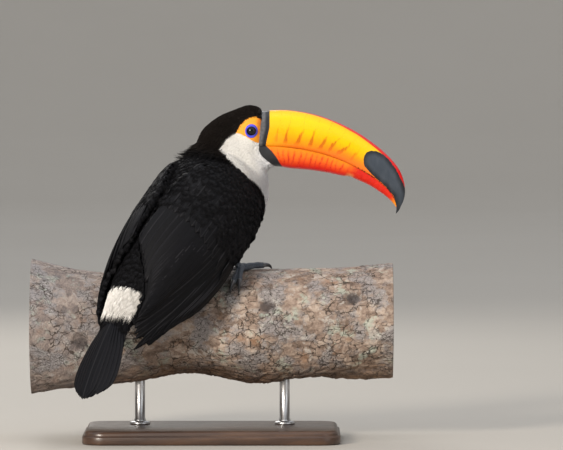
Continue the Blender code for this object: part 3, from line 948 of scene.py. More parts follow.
def hairCard(name, barbs, spread, barbWidth, seed):
    # a few fine barbs, each a slim three-sided blade
    dice = np.random.default_rng(seed)
    points, faces = [], []
    for b in range(barbs):
        lean = (-1 + 2 * (b + 0.5) / barbs) * spread + dice.uniform(-0.12, 0.12)
        reach = 1.0 - 0.15 * abs(lean) - dice.uniform(0, 0.25)
        bend = dice.uniform(-0.15, 0.15)
        start = len(points)
        for y, wide, high in ((0.0, 1.0, 0.7), (0.55, 0.85, 1.0)):
            middle = lean * (0.45 + 0.55 * y) + bend * y
            points += [(middle - barbWidth * wide, y * reach, 0.0), (middle, y * reach, high),
                       (middle + barbWidth * wide, y * reach, 0.0)]
        points.append((lean + bend * 0.6, reach, 0.3))
        a, c, tip = start, start + 3, start + 6
        faces += [(a, a + 1, a + 2), (a, c, c + 1, a + 1), (a + 1, c + 1, c + 2, a + 2),
                  (a + 2, c + 2, c, a), (c, tip, c + 1), (c + 1, tip, c + 2), (c + 2, tip, c)]
    return cardObject(name, points, faces)


def cardObject(name, points, faces):
    data = bpy.data.meshes.new(name)
    data.from_pydata([tuple(p) for p in points], [], faces)
    setAttribute(data, "card", np.array(points, float), "FLOAT_VECTOR")
    made = bpy.data.objects.new(name, data)
    return faceOutward(made)


def cardSet(name, cards):
    made = bpy.data.collections.new(name)
    for card in cards:
        made.objects.link(card)
    return made


def layTree():
    # feathers set on their roots, then laid along each root's own curve
    inputs = {"Roots": "Geometry", "Feathers": "Collection", "Thickness": 0.0003, "Camber": 0.3,
              "Ruffle": 0.0002, "Seed": 5, "Material": "Material"}
    tree, given, out = newGroup("lay feathers", "GeometryNodeTree", inputs, {"Coat": "Geometry"})

    def enabled(kind, inputs, **settings):
        node = addNode(tree, kind, inputs, **settings)
        return next(Wire(socket) for socket in node.outputs if socket.enabled)

    def named(label, kind="FLOAT_VECTOR"):
        return enabled("GeometryNodeInputNamedAttribute", {"Name": label}, data_type=kind)

    cards = wired(tree, "GeometryNodeCollectionInfo", {
        "Collection": given["Feathers"], "Separate Children": True, "Reset Children": True})
    dots = wired(tree, "GeometryNodeMeshToPoints", {"Mesh": given["Roots"]})
    spots = wired(tree, "GeometryNodeInstanceOnPoints", {
        "Points": dots, "Instance": cards, "Pick Instance": True,
        "Instance Index": named("layKind", "INT")})
    real = wired(tree, "GeometryNodeRealizeInstances", {0: spots})
    x, y, z = wiresOf(addNode(tree, "ShaderNodeSeparateXYZ", {0: named("card")})).values()
    y2 = y * y
    y3 = y2 * y
    rest = 1.0 - y
    place = added(named("layRoot"), scaled(named("layCurveA"), y))
    place = added(place, scaled(named("layCurveB"), y2))
    place = added(place, scaled(named("layCurveC"), y3))
    across = added(scaled(named("laySideRoot"), rest), scaled(named("laySideTip"), y))
    normal = added(scaled(named("layUpRoot"), rest), scaled(named("layUpTip"), y))
    wide = wired(tree, "ShaderNodeVectorMath", {0: across}, "Value", operation="LENGTH")
    droop = x * x * wide * given["Camber"]
    shake = enabled("FunctionNodeRandomValue", {"Seed": given["Seed"]}, data_type="FLOAT")
    high = z * given["Thickness"] - droop + shake * given["Ruffle"] * y2
    place = added(added(place, scaled(across, x)), scaled(normal, high))
    moved = wired(tree, "GeometryNodeSetPosition", {"Geometry": real, "Position": place})
    # each feather gets its own small patch of the map
    flat = wired(tree, "ShaderNodeCombineXYZ", {0: x * 0.5, 1: y - 0.5})
    spot = added(named("layMap"), scaled(flat, 0.003))
    mapped = wired(tree, "GeometryNodeStoreNamedAttribute", {
        "Geometry": moved, "Name": "OFBake", "Value": spot}, data_type="FLOAT2", domain="CORNER")
    bare = wired(tree, "GeometryNodeRemoveAttribute", {"Geometry": mapped, "Name": "lay*"},
                 pattern_mode="WILDCARD")
    smooth = wired(tree, "GeometryNodeSetShadeSmooth", {"Geometry": bare})
    inputs = {"Geometry": smooth, "Material": given["Material"]}
    lead(wired(tree, "GeometryNodeSetMaterial", inputs), out, "Coat")
    return tree


layFeathers = layTree()
curveFit = np.linalg.inv(np.array([[k / 3, (k / 3) ** 2, (k / 3) ** 3] for k in (1, 2, 3)]))


def layCoat(name, lines, sides, ups, kinds, tints, maps, cards, material, thickness, camber, ruffle,
            seed):
    # lines, sides and ups at four places of each feather, from root to tip
    fit = np.einsum("ij,njk->nik", curveFit, lines[:, 1:] - lines[:, :1])
    data = bpy.data.meshes.new(name)
    data.from_pydata([tuple(p) for p in lines[:, 0] * mm], [], [])
    vectors = {"layRoot": lines[:, 0] * mm, "layCurveA": fit[:, 0] * mm, "layCurveB": fit[:, 1] * mm,
               "layCurveC": fit[:, 2] * mm, "laySideRoot": sides[:, 0] * mm, "laySideTip": sides[:, 3] * mm,
               "layUpRoot": ups[:, 0], "layUpTip": ups[:, 3], "layMap": np.pad(maps, ((0, 0), (0, 1)))}
    for label, values in vectors.items():
        setAttribute(data, label, values, "FLOAT_VECTOR")
    setAttribute(data, "layKind", kinds, "INT")
    setTint(data, tints)
    setAttribute(data, "tone", draw.uniform(0, 1, len(lines)))
    coat = newObject(name, data)
    change = coat.modifiers.new("lay feathers", "NODES")
    change.node_group = layFeathers
    values = {"Feathers": cards, "Thickness": thickness * mm, "Camber": camber, "Ruffle": ruffle * mm,
              "Seed": seed, "Material": material}
    for socket in layFeathers.interface.items_tree:
        if socket.item_type == "SOCKET" and socket.in_out == "INPUT" and socket.name in values:
            change[socket.identifier] = values[socket.name]
    made = baked(coat, name)
    triangles = sum(len(face.vertices) - 2 for face in made.data.polygons)
    print(name, len(lines), "feathers", triangles, "triangles")
    return made


boxSteps = [(a, b, c) for a in (-1, 0, 1) for b in (-1, 0, 1) for c in (-1, 0, 1)]


def scatter(allowed, spacing, seed):
    # roots over the allowed faces of the skin, none nearer than the spacing there
    dice = np.random.default_rng(seed)
    faces = np.flatnonzero(allowed)
    share = quadArea[faces] / spacing[faces] ** 2
    count = int(share.sum() * 5) + 10
    chosen = faces[np.searchsorted(np.cumsum(share) / share.sum(), dice.uniform(0, 1, count))]
    u, v = dice.uniform(0, 1, (2, count, 1))
    corner = skinPoints[quads[chosen]]
    points = (corner[:, 0] * (1 - u) * (1 - v) + corner[:, 1] * u * (1 - v) + corner[:, 2] * u * v
              + corner[:, 3] * (1 - u) * v)
    wide = float(spacing[faces].max())
    boxes, keep = {}, []
    for i, (point, near) in enumerate(zip(points, spacing[chosen])):
        a, b, c = (point // wide).astype(int).tolist()
        beside = (spot for da, db, dc in boxSteps for spot in boxes.get((a + da, b + db, c + dc), ()))
        if not any((x - point[0]) ** 2 + (y - point[1]) ** 2 + (z - point[2]) ** 2 < near * near
                   for x, y, z in beside):
            boxes.setdefault((a, b, c), []).append(tuple(point))
            keep.append(i)
    return points[keep], chosen[keep]


def traceLines(points, faces, lengths, heights, yaw):
    # four points down the lie of the feathers, lifted off the skin as they go
    lines = np.empty((len(points), 4, 3))
    ways, ups = np.empty_like(lines), np.empty_like(lines)
    for i, (point, face) in enumerate(zip(points, faces)):
        up = quadNormal[face]
        way = quadFlow[face] * math.cos(yaw[i]) + np.cross(up, quadFlow[face]) * math.sin(yaw[i])
        spot = point
        for k in range(4):
            lines[i, k], ways[i, k], ups[i, k] = spot, way, up
            if k == 3:
                break
            hit, normal, index, _ = skinTree.find_nearest(Vector(spot + way * lengths[i] / 3))
            spot = np.array(hit)
            up = unit(up * 0.5 + np.array(normal) * 0.5)
            turned = quadFlow[index] * 0.35 + way * 0.65
            way = unit(turned - up * (turned @ up))
    lines += ups * heights[:, :, None]
    return lines, ways, ups


def coatOf(name, allowed, spacing, length, width, lift, cards, material, thickness, camber, ruffle,
           wander, seed, uneven=(0.75, 1.1), plain=None, below=False):
    # feathers over part of the skin; sizes may be numbers or one for each face
    full = np.ones(len(quads))
    spacing, length, width = spacing * full, length * full, width * full
    points, faces = scatter(allowed, spacing, seed)
    dice = np.random.default_rng(seed + 100)
    count = len(points)
    lengths = length[faces] * dice.uniform(0.82, 1.15, count)
    depth = np.interp(quadAlong[faces], coatDepth[:, 0], coatDepth[:, 1])
    heights = depth[:, None] * np.array(lift) * dice.uniform(*uneven, (count, 1))
    heights[:, 0] = -0.3
    lines, ways, ups = traceLines(points, faces, lengths, heights, dice.normal(0, wander, count))
    if below:
        # none may come through to the top of the tail
        under = ((lines - tailPlace) @ tailUp).max(axis=1) < -1.6
        points, faces, lines, ways, ups = (rows[under] for rows in (points, faces, lines, ways, ups))
        count = len(points)
    half = width[faces] * dice.uniform(0.85, 1.15, count) / 2
    sides = np.cross(ways, ups) * half[:, None, None]
    tints = np.tile(plain, (count, 1)) if plain else tintOf(points, quadPart[faces], quadAlong[faces])
    maps = np.stack([quadAround[faces] / 360 + 0.5, quadAlong[faces] / 330], axis=1)
    kinds = dice.integers(0, len(cards.objects), count)
    return layCoat(name, lines, sides, ups, kinds, tints, np.clip(maps, 0.01, 0.99), cards, material,
                   thickness, camber, ruffle, seed)


# barbs running out from the shaft, as a height and a tone, from the feather's own x and y
def barbGroup():
    outputs = dict.fromkeys(("Height", "Shaft", "Edge", "Tip"), "Float")
    tree, given, out = newGroup("barbs", "ShaderNodeTree", {"Barbs": 40.0, "Slant": 0.5}, outputs)
    card = addNode(tree, "ShaderNodeSeparateXYZ", {0: readAttribute(tree, "card", "Vector")})
    x, y, _ = wiresOf(card).values()
    side = calc("ABSOLUTE", x)
    wave = calc("SINE", (y - side * given["Slant"]) * given["Barbs"] * 6.283)
    lead(wave * speckle(placed(tree), 900.0, 2.0), out, "Height")
    lead(span(side, 0.10, 0.02), out, "Shaft")
    lead(span(side, 0.72, 0.98), out, "Edge")
    lead(span(y, 0.72, 1.0), out, "Tip")
    return tree


barbs = barbGroup()


def featherFinish(name, roughness, barbCount, slant, edge, edgeShare, shaftShare, bump, sheen=0.0,
                  tipShare=0.0, spread=0.16):
    material, tree = finishOf(name, Roughness=roughness, Sheen_Weight=sheen, Sheen_Roughness=0.45,
                              Specular_IOR_Level=0.3 if sheen else 0.11)
    vane = placeGroup(tree, barbs, Barbs=barbCount, Slant=slant)
    tones = ramp(readAttribute(tree, "tone"), ((0.0, (1 - spread,) * 3), (1.0, (1 + spread * 0.6,) * 3)))
    colour = blend(1.0, readAttribute(tree, "tint", "Color"), tones, "MULTIPLY")
    # paler edges, tips and shafts of each vane; on the black feathers and quills the lighter bluish tone is
    # partly their own paler edges, partly a painted sheen
    colour = blend(vane["Edge"] * edgeShare, colour, edge)
    if tipShare:
        colour = blend(vane["Tip"] * tipShare, colour, edge)
    colour = blend(vane["Shaft"] * shaftShare, colour, edge)
    return dressed(material, colour, vane["Height"], bump, 0.0002)


plumeCards = cardSet("plume shapes", [plumeCard(f"plume{k}", 4, 6, 30 + k) for k in range(4)])
hairCards = cardSet("hair shapes", [hairCard(f"hair{k}", 3, 0.8, 0.17, 40 + k) for k in range(5)])
wispCards = cardSet("wisp shapes", [hairCard(f"wisp{k}", 5, 0.95, 0.11, 45 + k) for k in range(4)])

# the black feathers' lighter bluish edges and shafts: partly paler edges, partly painted sheen
blackFeather = featherFinish("blackFeather", 0.64, 16, 0.35, (0.020, 0.020, 0.027), 0.16, 0.08, 0.2)
crownFeather = featherFinish("crownFeather", 0.7, 10, 0.3, (0.030, 0.021, 0.015), 0.10, 0.0, 0.2,
                             tipShare=0.25)
paleFeather = featherFinish("paleFeather", 0.8, 8, 0.3, (0.97, 0.96, 0.94), 0.2, 0.0, 0.05, sheen=0.15,
                            spread=0.05)
redFeather = featherFinish("redFeather", 0.62, 8, 0.3, (0.75, 0.06, 0.03), 0.3, 0.1, 0.15, sheen=0.1)

# where each kind of feather roots
bib, bare = bibEdge(quadMiddle)[0], bareEdge(quadMiddle)
rump, undertail = rumpEdge(quadMiddle), undertailEdge(quadMiddle)
aheadOfBase = quadMiddle[:, 0] > baseOfBill(quadMiddle[:, 2], *bill["base"]) - 1.0
inBib = onBody & (bib > -1.0) & (bare < 0.4) & ~(aheadOfBase & (quadMiddle[:, 2] > 320))
inBare = onBody & (bare >= 0.4)
tailFar = (quadMiddle - tailPlace) @ tailBack
tailAcross = np.abs((quadMiddle - tailPlace) @ tailSide)
inRump = onBody & (rump > 0)
tailUnder = quadNormal @ tailUp < -0.35
onTailRoot = onTail & (np.abs(tailFar - 13.0) < 9.0) & (tailAcross < 12.0)
inUnder = tailUnder & ((onBody & (undertail > 0)) | onTailRoot)
inTailTop = onBody & (rump <= 0) & (quadAhead < marks["rumpAhead"][0]) & ~inUnder
inHead = onBody & (bib <= -1.0) & ~inBare & ~aheadOfBase & (quadAlong > 226)
inTrunk = onBody & ~inBib & ~inBare & ~inRump & ~inUnder & ~inHead & ~inTailTop


def makeCoat():
    # each: name, where, spacing, length, width, lift, shapes and finish, then thickness,
    # camber, ruffle, wander and seed
    nape = smoothStep(278, 240, quadAlong)
    face = smoothStep(27, 15, np.linalg.norm(quadMiddle[:, [0, 2]] - (48, 362), axis=1))
    back, front = np.abs(quadAround) < 75, np.abs(quadTurn) > 95
    shag = inHead & back & (quadAlong > 236) & (quadAlong < 262)
    size = 1 - 0.4 * smoothStep(150, 225, quadAhead)
    laid = (0.35, 0.8, 0.95, 1.0)
    return [
        coatOf("crownFeathers", inHead & back, 1.45 + 0.35 * nape - 0.3 * face,
               6.5 + 6.0 * nape - 3.2 * face, 2.2 + 0.7 * nape - 0.7 * face, (0, 0.7, 1.0, 1.12),
               hairCards, crownFeather, 0.3, 0.2, 0.45, 0.2, 1),
        coatOf("neckFeathers", inHead & ~back, 1.5 + 0.3 * nape - 0.3 * face, 6.5 + 5 * nape - 3.2 * face,
               2.2 + 0.7 * nape - 0.7 * face, (0.25, 0.75, 0.95, 1.0), hairCards, crownFeather,
               0.3, 0.2, 0.35, 0.16, 2),
        coatOf("bibFeathers", inBib, 1.2 - 0.05 * face, 8.5 - 3.5 * face, 2.2 - 0.4 * face,
               (0.50, 0.62, 0.68, 0.70), hairCards, paleFeather, 0.09, 0.05, 0.04, 0.10, 3, (0.95, 1.04)),
        coatOf("napeFeathers", shag, 2.6, 16.0, 3.0, (0.3, 1.6, 3.0, 4.9), wispCards, crownFeather,
               0.3, 0.2, 1.8, 0.34, 12),
        coatOf("backFeathers", inTrunk & ~front, 2.7 * size, 15 * size, 7.6 * size, laid, plumeCards,
               blackFeather, 0.22, 0.16, 0.3, 0.12, 4),
        coatOf("breastFeathers", inTrunk & front, 2.7 * size, 14 * size, 7.4 * size, laid, plumeCards,
               blackFeather, 0.22, 0.16, 0.3, 0.14, 5),
        coatOf("thighFeathers", onThigh, 2.2, 9.0, 3.6, laid, plumeCards, blackFeather,
               0.3, 0.2, 0.4, 0.15, 6),
        coatOf("rumpFeathers", inRump, 1.45, 21.0, 2.9, (0.5, 0.95, 1.15, 1.3), wispCards, paleFeather,
               0.18, 0.08, 0.35, 0.10, 7),
        coatOf("tailCoverts", inTailTop, 3.4, 20.0, 8.0, (0.0, 0.3, 0.4, 0.4), plumeCards, blackFeather,
               0.2, 0.05, 0.1, 0.05, 11, plain=skinColours["black"]),
        coatOf("undertailFeathers", inUnder, 2.0, 15.0, 3.8, (0, 0.7, 1.1, 1.3), wispCards, redFeather,
               0.3, 0.15, 0.6, 0.16, 8, below=True),
    ]


coat = makeCoat()


# the folded wing's long feathers, each as root and tip: ahead of the tail's root and
# angle from the back; then width, how deep it lies, and how far its middle bows
quills = {
    "primaries": {"count": 9, "root": ((88, 104), (112, 115)), "tip": ((-49, 105.5), (30, 116.5)),
                  "bow": 1.5, "width": 13.0, "depth": (1.25, 0.95)},
    "secondaries": {"count": 17, "root": ((120, 106), (128, 58)), "tip": ((-42, 99), (16, 46)),
                    "bow": 2.0, "width": 17.0, "depth": (0.9, 0.35)},
    "tertials": {"count": 5, "root": ((128, 56), (122, 22)), "tip": ((12, 44), (50, 13)),
                 "bow": 0.0, "width": 20.0, "depth": (0.3, -0.1)},
    "greaterCoverts": {"count": 13, "root": ((152, 111), (156, 16)), "tip": ((82, 113), (104, 14)),
                       "bow": 0.0, "width": 14.0, "depth": (0.1, -0.3)},
    "medianCoverts": {"count": 14, "root": ((172, 110), (176, 24)), "tip": ((118, 112), (134, 20)),
                      "bow": 0.0, "width": 12.5, "depth": (-0.1, -0.5)},
}
quillOutline = ((0, 0.3), (0.08, 0.7), (0.3, 0.95), (0.75, 1.0), (0.9, 0.96), (0.97, 0.84), (1, 0.64))


def quillLines(set_, way, dice):
    a0, a1, b0, b1 = (np.array(v, float) for v in set_["root"] + set_["tip"])
    share = np.linspace(0, 1, 4)
    lines, sides, ups = [], [], []
    for k in range(set_["count"]):
        t = k / (set_["count"] - 1)
        root, tip = a0 + (a1 - a0) * t, b0 + (b1 - b0) * t
        root, tip = root + dice.uniform(-1, 1, 2) * (2, 0.6), tip + dice.uniform(-1, 1, 2) * (0.7, 0.3)
        ahead = root[0] + (tip[0] - root[0]) * share
        angle = root[1] + (tip[1] - root[1]) * share + set_["bow"] * 4 * share * (1 - share)
        edges = rowAt(wingRows, ahead)
        angle = np.clip(angle, edges[:, 4] + 1.5, edges[:, 5] - 1.0)
        first, last = set_["depth"]
        sink = first + (last - first) * t + np.array((0.9, 0.25, 0.0, 0.0))
        line = wingPoint(ahead, angle, way, sink)
        away = unit(wingPoint(ahead, angle, way, -1.0) - wingPoint(ahead, angle, way, 1.0))
        run = unit(np.gradient(line, axis=0))
        half = set_["width"] * dice.uniform(0.95, 1.05) / 2
        lines.append(line)
        sides.append(unit(np.cross(run, away)) * half)
        ups.append(away)
    return np.array(lines), np.array(sides), np.array(ups)


def layQuills(name, lines, sides, ups, tints, dice, camber, ruffle, seed):
    count = len(lines)
    maps = np.stack([np.full(count, 0.5), (np.arange(count) + 0.5) / count], axis=1)
    return layCoat(name, lines, sides, ups, dice.integers(0, 3, count), tints, maps, quillCards,
                   quillFeather, 0.35, camber, ruffle, seed)


def makeWing(way):
    side = "Right" if way > 0 else "Left"
    dice = np.random.default_rng(60 + way)
    groups = [quillLines(group, way, dice) for group in quills.values()]
    lines, sides, ups = (np.concatenate([group[k] for group in groups]) for k in range(3))
    tints = np.array(skinColours["black"]) * dice.uniform(0.85, 1.2, (len(lines), 1))
    long = layQuills(f"wingQuills{side}", lines, sides, ups, tints, dice, 0.085, 0.25, 9)
    # small coverts over the shoulder and the bare inner edge
    mine = onWingRight if way > 0 else onWingLeft
    outward = unit(quadMiddle - trunkRoot - quadAhead[:, None] * trunkAhead)
    inward = (dot(quadNormal, outward)[:, 0] < 0.3) & (quadNormal @ trunkUp > 0.12) & (quadAhead > -20)
    covered = mine & ((quadAhead > 118) | inward)
    size = (1 - 0.42 * smoothStep(125, 200, quadAhead)) * np.where(inward, 0.62, 1.0)
    small = coatOf(f"wingCoverts{side}", covered, 4.4 * size, 19 * size, 10.5 * size,
                   (0.3, 0.75, 0.92, 1.0), plumeCards, blackFeather, 0.25, 0.12, 0.25, 0.08, 70 + way)
    return [long, small]


def makeTail():
    dice = np.random.default_rng(80)
    lines, sides, ups = [], [], []
    shares = np.array((0.88, -0.88, 0.7, -0.7, 0.5, -0.5, 0.3, -0.3, 0.1, -0.1))
    for k, share in enumerate(shares):
        tip = 99.5 - 17.0 * abs(share) ** 2.2 + dice.uniform(-1.0, 1.0)
        run = np.linspace(2.0, tip, 4)
        spread = share * np.array((0.45, 0.75, 0.86, 0.74 + 0.1 * abs(share)))
        lift = 0.35 + 0.22 * k + np.array((-0.6, 0.0, 0.0, -0.2))
        line = tailPoint(run, spread, lift)
        outward = tailPoint(run, spread + 0.1, lift) - tailPoint(run, spread - 0.1, lift)
        away = unit(np.cross(unit(outward), unit(np.gradient(line, axis=0))))
        away *= np.sign(dot(away, tailUp))
        half = (9.4 if abs(share) < 0.8 else 8.0) * dice.uniform(0.96, 1.04)
        lines.append(line)
        sides.append(unit(np.cross(unit(np.gradient(line, axis=0)), away)) * half)
        ups.append(away)
    tints = np.array(skinColours["black"]) * dice.uniform(0.9, 1.15, (len(lines), 1)) * (0.95, 1.0, 1.12)
    return layQuills("tailQuills", *map(np.array, (lines, sides, ups)), tints, dice, 0.05, 0.3, 10)


quillCards = cardSet("quill shapes",
                     [vaneCard(f"quill{k}", 22, 9, quillOutline, 0.9, 0.012, 50 + k) for k in range(3)])
# the quills' lighter edges and shafts: partly paler edges, partly painted sheen
quillFeather = featherFinish("quillFeather", 0.6, 90, 0.12, (0.030, 0.029, 0.033), 0.45, 0.6, 0.3)
coat += makeWing(1) + makeWing(-1) + [makeTail()]


# eyes: the ball stays where the solid is; a ring of blue skin and a bare orange patch round it
eye = {
    "place": (46.2, 361.5),
    "offPlane": 21.6,
    "radius": 7.0,
    "opening": 5.15,
    "ring": (7.7, 8.5),
    "lidHeight": 1.15,
    "patchLift": 0.35,
    "socket": 2.6,
    "pupil": 2.9,
    "iris": 4.3,
    "ringDark": (0.008, 0.008, 0.07), "ringBlue": (0.060, 0.068, 0.74), "ringEdge": (0.022, 0.018, 0.26),
}


def faceSurface(x, z, way):
    # the skin's outer face seen from the side: its point and normal
    start = Vector((x, head["plane"] + way * 60.0, z))
    hit, normal, _, _ = skinTree.ray_cast(start, Vector((0.0, -way, 0.0)), 80.0)
    if hit is None:
        hit, normal, _, _ = skinTree.find_nearest(Vector((x, head["plane"] + way * 24.0, z)))
    return np.array(hit), np.array(normal)


def bareReach(angle):
    # how far the bare patch reaches from the eye that way
    steps = np.linspace(6.0, 30.0, 121)
    spots = np.stack([eye["place"][0] + steps * math.cos(angle), eye["place"][1] + steps * math.sin(angle)],
                     axis=1)
    inside = edgeDistance(spots, marks["bare"]) > 0
    return steps[np.argmin(inside)] if not inside.all() else steps[-1]


def facePatch(way):
    around, rings = 144, 26
    points, across = [], []
    inner = eye["ring"][0] - 0.7
    for k in range(rings):
        share = k / (rings - 1)
        for angle in 2 * math.pi * np.arange(around) / around:
            reach = inner + (bareReach(angle) + 1.2 - inner) * share ** 0.9
            x, z = np.array(eye["place"]) + (reach * math.cos(angle), reach * math.sin(angle))
            hit, normal = faceSurface(x, z, way)
            spot = Vector(hit)
            grain = noise.noise(spot * 1.15) * 0.09 + noise.noise(spot * 2.9) * 0.05
            fold = 0.11 * math.sin(reach * 2.6 + 1.5 * noise.noise(spot * 0.35))
            fold *= smoothStep(17.0, 8.0, reach)
            lift = eye["patchLift"] + grain + fold - 0.75 * smoothStep(0.86, 1.0, share)
            points.append(hit + normal * lift)
            across.append(x)
    made = meshObject("facePatch", points, ringFaces(rings, around, capped=False), bareFinish)
    red = smoothStep(51, 59, np.array(across))
    setTint(made.data, mixed(skinColours["bareSkin"], skinColours["bareRed"], red))
    return patchFacing(made, way)


def patchFacing(obj, way):
    # an open patch whose faces should look out to its own side
    obj.data.update()
    total = sum(face.normal.y * face.area for face in obj.data.polygons)
    if total * way < 0:
        obj.data.flip_normals()
    return obj


def eyeRing(way):
    around, rings = 120, 17
    points = []
    ballY = head["plane"] + way * eye["offPlane"]
    for k in range(rings):
        share = k / (rings - 1)
        near = 1 - smoothStep(0.0, 0.5, share)
        crest = eye["lidHeight"] * math.sin(math.pi * min(1.0, 0.16 + share * 0.84)) ** 0.7
        for angle in 2 * math.pi * np.arange(around) / around:
            wide = math.hypot(eye["ring"][0] * math.cos(angle), eye["ring"][1] * math.sin(angle))
            open_ = eye["opening"] + 0.16 * math.cos(2 * angle)
            reach = open_ + (wide - open_) * share
            x, z = eye["place"][0] + reach * math.cos(angle), eye["place"][1] + reach * math.sin(angle)
            hit, _ = faceSurface(x, z, way)
            ballFace = ballY + way * (math.sqrt(eye["radius"] ** 2 - open_ ** 2) + 0.15)
            base = hit[1] * way * (1 - near) + ballFace * way * near
            spot = Vector((math.cos(angle) * 4, math.sin(angle) * 4, share * 3))
            crease = 0.07 * math.sin(angle * 34 + 3 * noise.noise(spot)) * math.sin(math.pi * share)
            fold = 0.10 * math.sin(share * 15) * math.sin(math.pi * share)
            points.append((x, way * (base + crest + crease + fold), z))
    made = meshObject("eyeRing", points, ringFaces(rings, around, capped=False), ringFinish)
    share = np.repeat(np.arange(rings) / (rings - 1), around)
    colour = mixed(eye["ringDark"], eye["ringBlue"], smoothStep(0.02, 0.35, share))
    setTint(made.data, mixed(colour, eye["ringEdge"], smoothStep(0.66, 1.0, share)))
    return patchFacing(made, way)


def eyeBall(side, way):
    mesh = bmesh.new()
    bmesh.ops.create_uvsphere(mesh, u_segments=64, v_segments=40, radius=eye["radius"] * mm)
    centre = Vector((eye["place"][0], head["plane"] + way * eye["offPlane"], eye["place"][1]))
    for vert in mesh.verts:
        # turned to face outward, its clear front a little proud
        x, y, z = vert.co / mm
        proud = 1 + 0.035 * smoothStep(4.6, 6.9, z)
        vert.co = (centre + Vector((x, way * z, y)) * proud) * mm
    made = bmeshObject(f"eyeball{side}", mesh)
    made.data.shade_smooth()
    fromAxis = np.linalg.norm(pointsOf(made)[:, [0, 2]] - np.array(eye["place"]), axis=1)
    setAttribute(made.data, "fromAxis", fromAxis)
    made.data.materials.append(eyeFinish)
    return faceOutward(made)


def bareSkinFinish():
    material, tree = finishOf("bareSkin", Roughness=0.55)
    where = placed(tree)
    mottle = speckle(where, 420.0, 3.0)
    colour = layered(readAttribute(tree, "tint", "Color"),
                     (span(mottle, 0.45, 0.75, 0.0, 0.28), (0.95, 0.48, 0.03)),
                     (span(speckle(where, 190.0, 2.0), 0.5, 0.8, 0.0, 0.2), (0.80, 0.16, 0.01)))
    return dressed(material, colour, cells(where, 1500.0, "F1") + mottle, 0.35, 0.0003)


def eyeRingFinish():
    material, tree = finishOf("eyeRing", Roughness=0.4, Coat_Weight=0.15, Coat_Roughness=0.3)
    grain = cells(placed(tree), 1700.0, "F1")
    colour = blend(span(grain, 0.15, 0.6, 0.0, 0.35), readAttribute(tree, "tint", "Color"),
                   (0.07, 0.075, 0.72))
    return dressed(material, colour, grain, 0.4, 0.0002)


def eyeballFinish():
    material, tree = finishOf("eyeball", Roughness=0.06, Coat_Weight=0.35, Coat_Roughness=0.02,
                              Specular_IOR_Level=0.22)
    far = readAttribute(tree, "fromAxis")
    fibres = speckle(placed(tree, scale=(1, 0.1, 1)), 2600.0, 2.0)
    iris = blend(fibres, (0.006, 0.005, 0.006), (0.022, 0.014, 0.012))
    colour = blend(span(far, eye["pupil"] - 0.15, eye["pupil"] + 0.15), (0.002, 0.002, 0.003), iris)
    colour = blend(span(far, eye["iris"] - 0.3, eye["iris"] + 0.2), colour, (0.006, 0.006, 0.010))
    return dressed(material, colour)


bareFinish, ringFinish, eyeFinish = bareSkinFinish(), eyeRingFinish(), eyeballFinish()
eyeParts = {side: eyeBall(side, way) for side, way in (("Right", -1), ("Left", 1))}
facePatches = [facePatch(way) for way in (-1, 1)]
eyeRings = [eyeRing(way) for way in (-1, 1)]
print("eyes made")


# the bill, loft by loft, with its horn pattern in attributes
billMarks = {
    "tip": ((178.4, 320.0), (177.2, 326.0), (178.0, 331.8), (181.0, 336.3), (185.5, 338.1), (193.0, 337.6),
            (200.6, 333.6), (206.8, 328.2), (215.4, 316.8), (222.4, 303.0), (227.5, 291.0), (232.0, 280.0),
            (226.0, 258.0), (214.0, 260.0), (216.4, 271.4), (213.0, 284.5), (202.4, 297.0), (194.2, 303.6),
            (186.0, 311.4)),
    "band": ((344.0, 62.8), (355.0, 65.0), (365.0, 67.3), (400.0, 67.6)),
    "leaf": ((50.0, 344.2), (62.6, 344.2), (69.0, 339.0), (74.9, 331.3), (79.6, 323.3), (83.6, 317.0),
             (82.0, 305.0), (50.0, 305.0)),
    "tipSteps": (0.15, 0.3, 0.45, 0.6, 0.75, 0.87, 0.95, 0.99),
    "yellow": (0.955, 0.60, 0.0), "red": (0.80, 0.005, 0.003), "horn": (0.015, 0.017, 0.022),
    "lip": (0.42, 0.020, 0.005),
}


def mouthLine(rows):
    places = [np.array(bill["corner"])]
    for one, other in zip(rows, rows[1:]):
        slope = math.radians((one[1] + other[1]) / 2)
        places.append(places[-1] + np.array((math.cos(slope), 0, -math.sin(slope))) * (other[0] - one[0]))
    return np.array(places)


